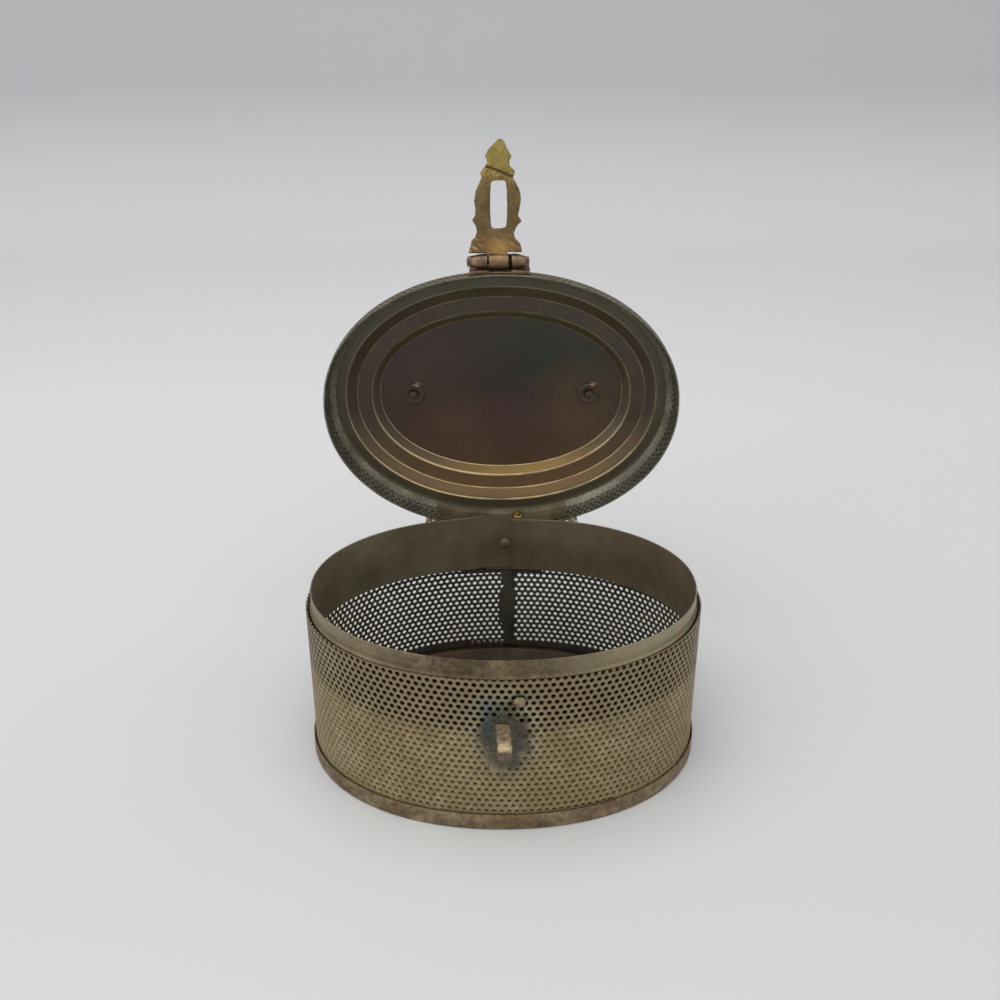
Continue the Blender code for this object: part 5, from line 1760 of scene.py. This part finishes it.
def makeBracket():
    away = haspAxis - lidHinge
    axis = Vector((haspAxis.x, lidHinge.y - away.z, lidHinge.z + away.y))
    reach = bracket["inner"] + sheet["gap"] + bracket["length"]
    inner = bracket["inner"] + sheet["gap"]
    bottom = wallTop + bracket["foot"]
    top, edge = bottom + bracket["height"], bracket["edge"]
    hollow = axis.y + hasp["knuckleRadius"] + sheet["gap"] - 0.001 * mm
    work = bmesh.new()
    sections = []
    for x in spread(axis.x - reach, axis.x + reach, 28):
        near = -(wallY(x) + sheet["gap"])
        far = near - bracket["sheet"]
        if abs(x - axis.x) < inner:  # the plate is hollowed for the hasp's own knuckle
            far = min(max(far, hollow), near - bracket["thinnest"])
        outline = [(near, bottom), (near, top), (far + edge, top), (far, top - edge), (far, bottom + edge)]
        sections.append([Vector((x, y, z)) for y, z in [*outline, (far + edge, bottom)]])
    loftSections(work, sections)
    piece = openLid(keepMesh("haspBracket", work, (finishes["knuckle"],)))
    # knuckles are added where the hasp's axis is in the open pose
    work = bmesh.new()
    work.from_mesh(piece.data)
    for way in (-1, 1):
        outer = reach - bracket["rightShort"] * (way > 0)
        ends = sorted((haspAxis.x + way * inner, haspAxis.x + way * outer))
        addKnuckle(work, *ends, way * bracket["taper"])
    work.to_mesh(piece.data)
    work.free()
    smoothMesh(piece.data, 35)
    place(piece, "lid", "hasp_bracket")


def makeHaspPin():
    low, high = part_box("hasp_pin")
    half = (high.x - low.x) / 2
    radius, (head, cap) = hasp["pinRadius"], hasp["pinHead"]
    right = half - bracket["rightShort"]
    profile = [(0, -half), (head * 0.6, -half + cap * 0.12), (head * 0.92, -half + cap * 0.45)]
    profile += [(head, -half + cap), (radius, -half + cap)]
    # burrs fill the narrow gaps at either side of the hasp's knuckle, coloured black as painted shade
    knuckle, spare = hasp["knuckleHalf"], 0.02 * mm
    bracketEnd = knuckle + sheet["gap"]
    for near, far in ((-bracketEnd, -knuckle), (knuckle - hasp["shortened"], bracketEnd)):
        near, far = near + spare, far - spare
        profile += [(radius, near), (hasp["burr"], near), (hasp["burr"], far), (radius, far)]
    profile += [(radius, right - cap), (head, right - cap), (head * 0.92, right - cap * 0.45)]
    profile += [(head * 0.6, right - cap * 0.12), (0, right)]
    work = bmesh.new()
    turnProfile(work, profile, haspAxis, (1, 0, 0), 24)
    piece = keepMesh("haspPin", work, (finishes["knuckle"], finishes["shade"]))
    for face in piece.data.polygons:
        face.material_index = int(abs(face.center.x - haspAxis.x) < bracketEnd)
    place(piece, "lid", "hasp_pin")


makeHasp()
makeBracket()
makeHaspPin()
print("hasp made")


# Stage, light and camera

stage = {
    "reach": 3.0,
    "sweepStart": 0.62,  # behind the box
    "sweepRadius": 0.45,
    "wallHeight": 2.2,
    # painted light: the floor is coloured darker in front of the box and lighter behind it
    "nearShadedColour": "#d3d5d4",
    "farLitColour": "#e2e2e2",
    "wallColour": "#c0c1c3",
    "farBetween": (-0.06, 0.26),  # depths between which near turns to far
    "wallBetween": (0.005, 0.11),  # heights between which floor turns to wall
    "skySeen": ("#dadbdc", "#eeeeee"),
    "skyLight": ("#d2d2d2", "#ececee"),
}


def makeStage():
    # a paper sweep: a flat floor that curves up into the backdrop
    profile = [(-stage["reach"], 0.0), (stage["sweepStart"], 0.0)]
    for a in spread(0, math.pi / 2, 24)[1:]:
        out, up = math.sin(a), 1 - math.cos(a)
        profile.append((stage["sweepStart"] + stage["sweepRadius"] * out, stage["sweepRadius"] * up))
    profile.append((profile[-1][0], stage["wallHeight"]))
    work = bmesh.new()
    rows = [[work.verts.new((x, y, z)) for y, z in profile] for x in (-stage["reach"], stage["reach"])]
    for k in range(len(profile) - 1):
        work.faces.new((rows[0][k], rows[1][k], rows[1][k + 1], rows[0][k + 1]))
    finish = bpy.data.materials.new("paperSweep")
    finish.use_nodes = True
    tree = finish.node_tree
    shader = tree.nodes["Principled BSDF"]
    where = addNode(tree, "ShaderNodeTexCoord", out="Object")
    axes = addNode(tree, "ShaderNodeSeparateXYZ", [where]).node.outputs
    # painted light: darker near the front, lighter further back
    paper = {"tree": tree, "colour": fromHex(stage["nearShadedColour"])}
    paint(paper, stage["farLitColour"], addNode(tree, "ShaderNodeMapRange", [axes["Y"], *stage["farBetween"]]))
    fibres = addNode(tree, "ShaderNodeTexNoise", {"Vector": where, "Scale": 3.0, "Detail": 2})
    paint(paper, fibres, 0.05, blend="OVERLAY")
    risen = addNode(tree, "ShaderNodeMapRange", [axes["Z"], *stage["wallBetween"]])
    paint(paper, stage["wallColour"], risen)
    tree.links.new(paper["colour"], shader.inputs["Base Color"])
    shader.inputs["Roughness"].default_value = 0.6
    keepMesh("floor", work, (finish,), 60)


def makeWorld():
    world = bpy.data.worlds.new("softRoom")
    bpy.context.scene.world = world
    world.use_nodes = True
    tree = world.node_tree
    background = tree.nodes["Background"]
    direction = addNode(tree, "ShaderNodeTexCoord", out="Generated")
    rise = addNode(tree, "ShaderNodeSeparateXYZ", [direction], "Z")
    seen, lit = (
        addNode(tree, "ShaderNodeValToRGB", [rise], stops=list(zip((0.0, end), stage[part])))
        for part, end in (("skySeen", 0.6), ("skyLight", 1.0))
    )
    # the camera and reflections see one sky, and another lights the box
    rays = addNode(tree, "ShaderNodeLightPath").node.outputs
    shown = rays["Is Camera Ray"]
    for kind in ("Is Glossy Ray", "Is Transmission Ray"):
        shown = addNode(tree, "ShaderNodeMath", [shown, rays[kind]], operation="MAXIMUM")
    sky = {"tree": tree, "colour": lit}
    paint(sky, seen, shown)
    tree.links.new(sky["colour"], background.inputs["Color"])
    background.inputs["Strength"].default_value = 1.0


def makeLights():
    for name, at, size, power in (
        ("overhead", (-0.12, -0.10, 0.85), 0.8, 3.0),
        ("leftFill", (-0.9, -0.7, 0.45), 0.7, 1.5),
    ):
        lamp = bpy.data.lights.new(name, "AREA")
        lamp.shape = "SQUARE"
        lamp.size = size
        lamp.energy = power
        holder = bpy.data.objects.new(name, lamp)
        bpy.context.scene.collection.objects.link(holder)
        holder.location = at
        holder.rotation_euler = (Vector((0, 0, 0.05)) - Vector(at)).to_track_quat("-Z", "Y").to_euler()


# fitted to the photograph's hole rows, rim, foot and lid rings
view = {"place": (-0.00348, -0.2670, 0.20375), "down": 25.375, "right": 0.532, "focalShare": 1.0898}


def makeCamera():
    camera = bpy.data.cameras.new("camera")
    camera.sensor_width = 36
    camera.lens = camera.sensor_width * view["focalShare"]
    camera.clip_start = 0.01
    camera.clip_end = 20
    holder = bpy.data.objects.new("camera", camera)
    bpy.context.scene.collection.objects.link(holder)
    holder.location = view["place"]
    holder.rotation_euler = (math.radians(90 - view["down"]), 0, math.radians(-view["right"]))
    bpy.context.scene.camera = holder


makeStage()
makeWorld()
makeLights()
makeCamera()
bpy.context.scene.view_settings.view_transform = "Standard"
print("stage made")

for pattern in (wallCell, chokedCell, lidCell, plainCell):
    bpy.data.objects.remove(pattern, do_unlink=True)
